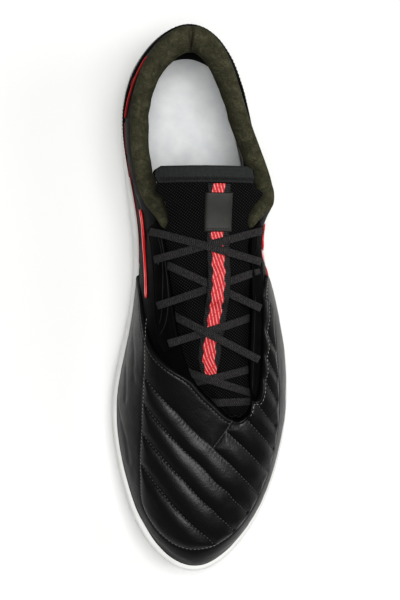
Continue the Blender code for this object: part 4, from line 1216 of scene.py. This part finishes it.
def build_tongue(cover, collar, finish):
    """Padded tongue: heights kept under the upper on a coarse grid, then made smooth and fine.

    Where the collar stands beside it, its edges press lightly into the collar's padding.
    """
    rows = np.asarray(TONGUE_SECTIONS, float)
    coarse_v = np.linspace(-1.0, 1.0, 13)
    heights = np.empty((31, len(coarse_v)))
    index = np.linspace(0.0, len(rows) - 1.0, 31)
    for r, at in enumerate(index):
        y, centre, half, crown, fall, _ = (float(spline(rows[:, c], at, closed=False)) for c in range(6))
        for k, v in enumerate(coarse_v):
            x = (centre + half * v) * BALL_WIDTH
            z = crown * (INSTEP_HEIGHT + TONGUE_RISE) - fall * BALL_WIDTH * v * v
            heights[r, k] = min(z, under(cover, x, y * LENGTH) - TONGUE_CLEARANCE)
    fine_v = crowded(56)
    fine_r = np.linspace(0.0, 30.0, 190)
    over_rows = spline(heights, fine_r, closed=False)
    z = spline(over_rows.T, (fine_v + 1.0) * 6.0, closed=False).T
    at = fine_r / 30.0 * (len(rows) - 1.0)
    y, centre, half, _, _, thick = (spline(rows[:, c], at, closed=False)[:, None] for c in range(6))
    sides = []
    for way, column in ((-1.0, 4), (1.0, -5)):
        least = half[:, 0] * BALL_WIDTH
        found = [reach_to(collar, (c * BALL_WIDTH, s * LENGTH, h), way, w, w + TONGUE_SPREAD)
                 for c, s, h, w in zip(centre[:, 0], y[:, 0], z[:, column], least)]
        inside = (y[:, 0] > TONGUE_FREE) & (y[:, 0] < rows[-1, 0] - TONGUE_FREE)
        sides.append(np.maximum(least, soft(np.where(inside, found, least), 5)))
    middle = centre * BALL_WIDTH
    x = middle + np.where(fine_v < 0.0, sides[0][:, None], sides[1][:, None]) * fine_v
    y = y * LENGTH + 0.0 * fine_v
    top = np.stack((x, y, z), -1)
    top[..., 2] += 0.00022 * bumps(top, 0.010, 14)
    edge = np.sqrt(np.maximum(1.0 - np.abs(fine_v) ** 6, 0.0))
    final = np.clip((y[-1] - y) / 0.0016, 0.0, 1.0)
    round_end = np.sqrt(np.maximum(1.0 - (1.0 - final) ** 2, 0.0))
    thin = TONGUE * thick * (1.0 - 0.45 * np.abs(fine_v) ** 3)
    middle = z - 0.5 * thin
    top[..., 2] = middle + (top[..., 2] - middle) * np.maximum(edge * round_end, 0.05)
    bottom = np.stack((x, y, middle - 0.5 * thin * np.maximum(edge * round_end, 0.05)), -1)
    loops = np.concatenate((top, bottom[:, ::-1]), 1)
    return loft("tongue_pad", loops, finish, slot="tongue_mesh", replaced=("tongue",))


def tongue_column(column):
    rows = np.asarray(TONGUE_SECTIONS, float)

    def at(y):
        return np.interp(y, rows[:, 0] * LENGTH, rows[:, column]) * BALL_WIDTH

    return at


def tape_middle(y):
    table = np.asarray(TAPE_LINE, float)
    index = np.interp(y, table[:, 0] * LENGTH, np.arange(len(table), dtype=float))
    return spline(table[:, 1] * BALL_WIDTH, index, closed=False)


def strip(name, cover, centre, half, ys, columns, thick, finish, lift=None, **kw):
    """Cloth strip laid on the tongue, rounded at its edges, along rows of even length."""
    v = crowded(columns)
    heights = np.array([[over(cover, float(centre(y)) + k * half(y), y, 0.0012) for k in v] for y in ys])
    for _ in range(2):
        even = 0.25 * heights[:-2] + 0.5 * heights[1:-1] + 0.25 * heights[2:]
        heights[1:-1] = np.maximum(heights[1:-1], even)
    loops = []
    for row, y in enumerate(ys):
        x = centre(y) + v * half(y)
        extra = lift(y) if lift else 0.0
        ends = min(1.0, (row + 0.15) / 3.0, (len(ys) - 1 - row + 0.15) / 3.0)
        rim = np.sqrt(np.maximum(1.0 - np.abs(v) ** 8, 0.02)) * np.sqrt(1.0 - (1.0 - ends) ** 2)
        low = np.column_stack((x, np.full_like(x, y), heights[row] + extra + 0.00008))
        top = low + np.column_stack((0 * x, 0 * x, thick * rim))
        loops.append(np.concatenate((top, low[::-1])))
    return loft(name, loops, finish, **kw)


def build_trims(tongue, knit_cloth, tape, label, dark_thread):
    cover = tree_of(tongue)
    top = TONGUE_SECTIONS[-1][0] * LENGTH
    centre, half = tongue_column(1), tongue_column(2)

    def band_half(y):
        return half(y) - 0.0004

    band = strip("tongue_band", cover, centre, band_half,
                 np.linspace(top - BINDING_WIDTH, top - 0.0002, 26), 60, 0.0010, knit_cloth,
                 slot="binding_knit", replaced=("tongue_binding",), crease=60)
    on_band = tree_of(band, tongue)

    def on_top(share, y):
        x = float(centre(y)) + share * float(band_half(y))
        return np.array((x, y, over(on_band, x, y)))

    low, high = top - BINDING_WIDTH + 0.0006, top - BINDING_WIDTH + 0.0030
    step = 1.86 / BAND_ZIGZAGS
    zigzag = []
    for number in range(BAND_ZIGZAGS + 1):
        start = -0.93 + 1.86 * number / BAND_ZIGZAGS
        for part, y0, y1 in ((0.0, low, high), (0.5, high, low)):
            path = np.linspace(on_top(start + part * step, y0), on_top(start + (part + 0.5) * step, y1), 5)
            zigzag.append((path, np.tile(UP, (5, 1))))
    stitches("band_stitches", zigzag, dark_thread, pitch=0.0026, share=0.95, half=0.00026)

    keeper = crossing_at(KEEPER_CROSSING)[1]

    def lift(y):
        beyond = np.clip((abs(y - keeper) - KEEPER_LENGTH) / KEEPER_LENGTH, 0.0, 1.0)
        return KEEPER_RISE * 0.9 * np.cos(beyond * np.pi / 2) ** 2

    end = TAPE_LINE[0][0] * LENGTH

    def tape_half(y):
        return 0.5 * TAPE_WIDTH * min(1.0, 0.55 + (y - end) / (2.5 * TAPE_WIDTH))

    ribbon = strip("tape", cover, tape_middle, tape_half,
                   np.linspace(end, top - BINDING_WIDTH - 0.0004, 190), 15, 0.0009, tape, lift,
                   slot="red_tape", replaced=("tongue_tape",), crease=60)
    patch_end = top - BINDING_WIDTH - LABEL_SETBACK

    def label_half(y):
        return 0.5 * LABEL_WIDTH

    patch_start = crossing_at(LABEL_CROSSING)[1] + LABEL_CLEARANCE
    patch = strip("label", tree_of(tongue, ribbon), tape_middle, label_half,
                  np.linspace(patch_start, patch_end, 60), 30, 0.0009, label,
                  slot="label_rubber", replaced=("tongue_label",), crease=60)
    on_patch = tree_of(patch, tongue)
    y = patch_start + 0.0014
    xs = float(tape_middle(y)) + np.linspace(-0.42, 0.42, 24) * LABEL_WIDTH
    path = np.array([(x, y, over(on_patch, x, y)) for x in xs])
    stitches("label_stitches", [(path, np.tile(UP, (24, 1)))], dark_thread, pitch=0.0013, half=0.00022)
    return ribbon, patch


# Laces


def hole_frame(side, number):
    section, share = HOLES[side][number]
    place = float(turn(section))
    return surface(place, share, SYNTHETIC), facing(place, share)


def crossing_share(a, b, c, d):
    return np.linalg.solve(np.column_stack((b - a, c - d)), c - a)


def strand_lines():
    lines = {}
    for name, *ends, above in STRANDS:
        points, holes = [], []
        for end in ends:
            at_hole = isinstance(end, tuple)
            points.append((hole_frame(*end)[0] if at_hole else surface(float(turn(end)), 1.0))[:2])
            holes.append(hole_frame(*end) if at_hole else None)
        lines.setdefault(name, []).append((points[0], points[1], above, holes))
    return lines


def taut(run, height):
    kept = [0]
    for index in range(1, len(run)):
        while len(kept) > 1:
            a, b = kept[-2], kept[-1]
            rise, climb = height[b] - height[a], height[index] - height[a]
            if rise * (run[index] - run[a]) > (run[b] - run[a]) * climb:
                break
            kept.pop()
        kept.append(index)
    return kept


def lace(name, cover, below, line, bump, finish, **kw):
    """Flat woven lace laid taut along a plan line, run into a lace hole or under the edge at each end."""
    start, end, _, holes = line
    ahead = unit(end - start)
    side = np.array((-ahead[1], ahead[0]))
    span = np.linalg.norm(end - start)
    run = np.linspace(0.0, 1.0, 70)
    plan = start + run[:, None] * (end - start)
    heights = []
    for offset in (-1.0, 0.0, 1.0):
        probe = plan + 0.5 * offset * LACE_WIDTH * side
        height = np.array([over(cover, *point) for point in probe]) + LACE_SEAT
        for hole, away in ((holes[0], run * span), (holes[1], (1.0 - run) * span)):
            if hole is None:
                under_edge = np.clip((LACE_DIVE - away) / 0.0015, 0.0, 1.0)
                laid_low = np.array([over(below, *point) for point in probe]) + LACE_SEAT
                height = height + under_edge * (np.minimum(laid_low, height) - height)
        if bump is not None:
            height += LACE_LIFT * np.exp(-((run - bump) * span / LACE_SMOOTH) ** 2)
        heights.append(height)
    tight = []
    for height in (heights[0], heights[2]):
        best = np.maximum(height, heights[1] - 0.0002)
        kept = taut(run, best)
        laid = np.interp(run, run[kept], best[kept])
        for _ in range(3):
            even = 0.25 * laid[:-2] + 0.5 * laid[1:-1] + 0.25 * laid[2:]
            laid[1:-1] = np.maximum(even, best[1:-1] - 0.0001)
        tight.append(laid)
    left = np.column_stack((plan - 0.5 * LACE_WIDTH * side, tight[0]))
    right = np.column_stack((plan + 0.5 * LACE_WIDTH * side, tight[1]))
    for index, hole in ((0, holes[0]), (-1, holes[1])):
        way = -1.0 if index == 0 else 1.0
        tail = []
        for step in range(1, 6):
            if hole is not None:
                shift = -0.0007 * step * hole[1] + way * 0.00012 * step * np.append(ahead, 0.0)
            else:
                shift = np.append(way * ahead * 0.0009 * step, -0.00030 * step)
            centre = 0.5 * (left[index] + right[index]) + shift
            half = 0.5 * (right[index] - left[index]) * (1.0 - 0.07 * step)
            tail.append((centre - half, centre + half))
        tail = np.array(tail)
        if index == 0:
            left, right = (np.concatenate((tail[::-1, k], line)) for k, line in enumerate((left, right)))
        else:
            left, right = (np.concatenate((line, tail[:, k])) for k, line in enumerate((left, right)))
    middle, half = 0.5 * (left + right), 0.5 * (right - left)
    up = unit(np.cross(half, unit(np.gradient(middle, axis=0))))
    up *= np.sign(up[:, 2:3].sum() or 1.0)
    v = crowded(11)
    crown = 0.5 * LACE * (0.55 + 0.45 * np.sqrt(np.maximum(1.0 - np.abs(v) ** 3, 0.0)))
    ripple = 0.00006 * np.sin(np.arange(len(middle)) * 2.1)[:, None]
    flat = middle[:, None] + v[None, :, None] * half[:, None]
    top = flat + (0.5 * LACE + crown[None, :] + ripple)[..., None] * up[:, None]
    low = flat + (0.5 * LACE - crown[None, :])[..., None] * up[:, None]
    return loft(name, np.concatenate((top, low[:, ::-1]), 1), finish, slot="lace_fabric", **kw)


def crossing_at(name):
    (a, b, _, _), (c, d, _, _) = strand_lines()[name]
    return a + crossing_share(a, b, c, d)[0] * (b - a)


def build_laces(over_tape, under_tape, below, finish):
    for name, pair in strand_lines().items():
        cover = under_tape if name == KEEPER_CROSSING else over_tape
        if len(pair) == 1:
            lace(name + "_lace", cover, below, pair[0], None, finish, replaced=(name,))
            continue
        (a, b, first_above, _), (c, d, second_above, _) = pair
        first, second = crossing_share(a, b, c, d)
        lace(name + "_a", cover, below, pair[0], first if first_above else None, finish, replaced=(name,))
        lace(name + "_b", cover, below, pair[1], second if second_above else None, finish)


# Small trims


def build_lines(finishes):
    """Piping and welded seams: thin rounded lines sewn or moulded on the upper."""
    for name, (line, out, half, high, finish) in LINES.items():
        path, way = curve_on(line, out, 0.0009)
        number = np.arange(len(path))
        taper = np.clip(np.minimum(number, number[::-1]) / 4.0 + 0.25, 0.0, 1.0)
        sweep(name, path, way, half * taper, high * taper, finishes[finish])


# Picture


def build_stage():
    floor = bpy.data.meshes.new("floor")
    signs = ((-1, -1), (1, -1), (1, 1), (-1, 1))
    floor.from_pydata([(x * FLOOR_REACH, y * FLOOR_REACH, -FLOOR_DROP) for x, y in signs], [], [(0, 1, 2, 3)])
    made = Finish("pale_floor", (0.86, 0.86, 0.85), 0.6)
    made.paint(made.noise(0.35, 2.0), (0.3, (0.84, 0.84, 0.83)), (0.7, (0.88, 0.88, 0.87)))
    floor.materials.append(made.material)
    ground_piece = bpy.data.objects.new("floor", floor)
    bpy.context.collection.objects.link(ground_piece)


def area_light(name, spot, target, size, power, colour):
    lamp = bpy.data.lights.new(name, "AREA")
    lamp.shape, lamp.size, lamp.size_y = "RECTANGLE", size[0], size[1]
    lamp.energy, lamp.color = power, colour
    made = bpy.data.objects.new(name, lamp)
    made.location = spot
    made.rotation_euler = (Vector(target) - Vector(spot)).to_track_quat("-Z", "Y").to_euler()
    bpy.context.collection.objects.link(made)


def build_light():
    """Bright, soft studio: a softbox straight overhead for the gloss, and a low key from the lateral side."""
    world = bpy.data.worlds.new("studio")
    bpy.context.scene.world = world
    world.use_nodes = True
    sky = world.node_tree.nodes["Background"]
    sky.inputs["Color"].default_value = (1.0, 1.0, 1.0, 1.0)
    sky.inputs["Strength"].default_value = SKY
    for row in LIGHTS:
        area_light(*row)


def grade(*points):
    """Tone curve of the picture: deep blacks and clean whites, as a studio photograph is printed."""
    view = bpy.context.scene.view_settings
    view.view_transform = "Standard"
    view.use_curve_mapping = True
    curve = view.curve_mapping.curves[3]
    for level_in, level_out in points:
        curve.points.new(level_in, level_out)
    view.curve_mapping.update()


def build_camera():
    """Straight above the shoe and a little to its medial side, as in the photograph."""
    spot, target = Vector(CAMERA_SPOT), Vector(CAMERA_TARGET)
    back = (spot - target).normalized()
    up = Vector((0.0, 1.0, 0.0))
    up = (up - up.dot(back) * back).normalized()
    right = up.cross(back)
    turned = Matrix((right, up, back)).transposed().to_4x4()
    turned.translation = spot
    lens = bpy.data.cameras.new("camera")
    lens.sensor_width = SENSOR
    lens.lens = SENSOR * (spot - target).length / PICTURE_HEIGHT
    lens.clip_start, lens.clip_end = 0.01, 20.0
    eye = bpy.data.objects.new("camera", lens)
    eye.matrix_world = turned
    bpy.context.collection.objects.link(eye)
    bpy.context.scene.camera = eye


def main():
    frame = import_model()
    build_camera()
    build_light()
    grade(*TONE_CURVE)
    build_stage()
    quarter = synthetic("quarter_black", (0.0028, 0.0028, 0.0032), (0.0060, 0.0060, 0.0066))
    stay = synthetic("stay_charcoal", (0.0040, 0.0040, 0.0044), (0.0085, 0.0085, 0.0090), (0.50, 0.65))
    counter = synthetic("counter_black", (0.0028, 0.0028, 0.0032), (0.0060, 0.0060, 0.0066),
                        (0.34, 0.46), 0.3)
    grey_thread = thread("grey_thread", (0.20, 0.195, 0.185))
    dark_thread = thread("dark_thread", (0.090, 0.088, 0.085))
    black_thread = thread("black_thread", (0.012, 0.012, 0.012))
    build_sole(rubber("white_rubber", (0.72, 0.72, 0.70), (0.80, 0.80, 0.78)),
               rubber("gum_white", (0.62, 0.62, 0.60), (0.70, 0.70, 0.68), (0.55, 0.75)))
    build_insole(liner_cloth())
    lining = lining_and_shade_cloth()
    shell = build_shell(quarter, lining)
    # Black heel lining: a padded lining, and also painted shade below the collar
    build_heel_shade_lining(lining)
    vamp = build_vamp(leather(), grey_thread, dark_thread)
    stays = build_stays(stay)
    build_counter(counter, dark_thread)
    collar = build_collar(suede())
    tongue = build_tongue(tree_of(frame["nodes"]["upper"]), tree_of(collar, shell), mesh_cloth())
    label = rubber("label_plain", (0.033, 0.033, 0.031), (0.042, 0.042, 0.039), (0.6, 0.75))
    tape, patch = build_trims(tongue, knit(), tape_weave(), label, black_thread)
    cover = [tongue, shell, vamp, *stays]
    build_laces(tree_of(*cover, tape, patch), tree_of(*cover), tree_of(tongue), lace_cloth())
    cut_holes([shell] + stays)
    build_lines({
        "seam": synthetic("seam_grey", (0.020, 0.020, 0.021), (0.036, 0.036, 0.037)),
        "red": red_rubber("red_line", (0.52, 0.020, 0.024), (0.62, 0.05, 0.05)),
        "pink": red_rubber("pink_line", (0.78, 0.25, 0.26), (0.85, 0.42, 0.42)),
        "dark_red": red_rubber("dark_red_line", (0.14, 0.012, 0.014), (0.20, 0.02, 0.02)),
    })


main()
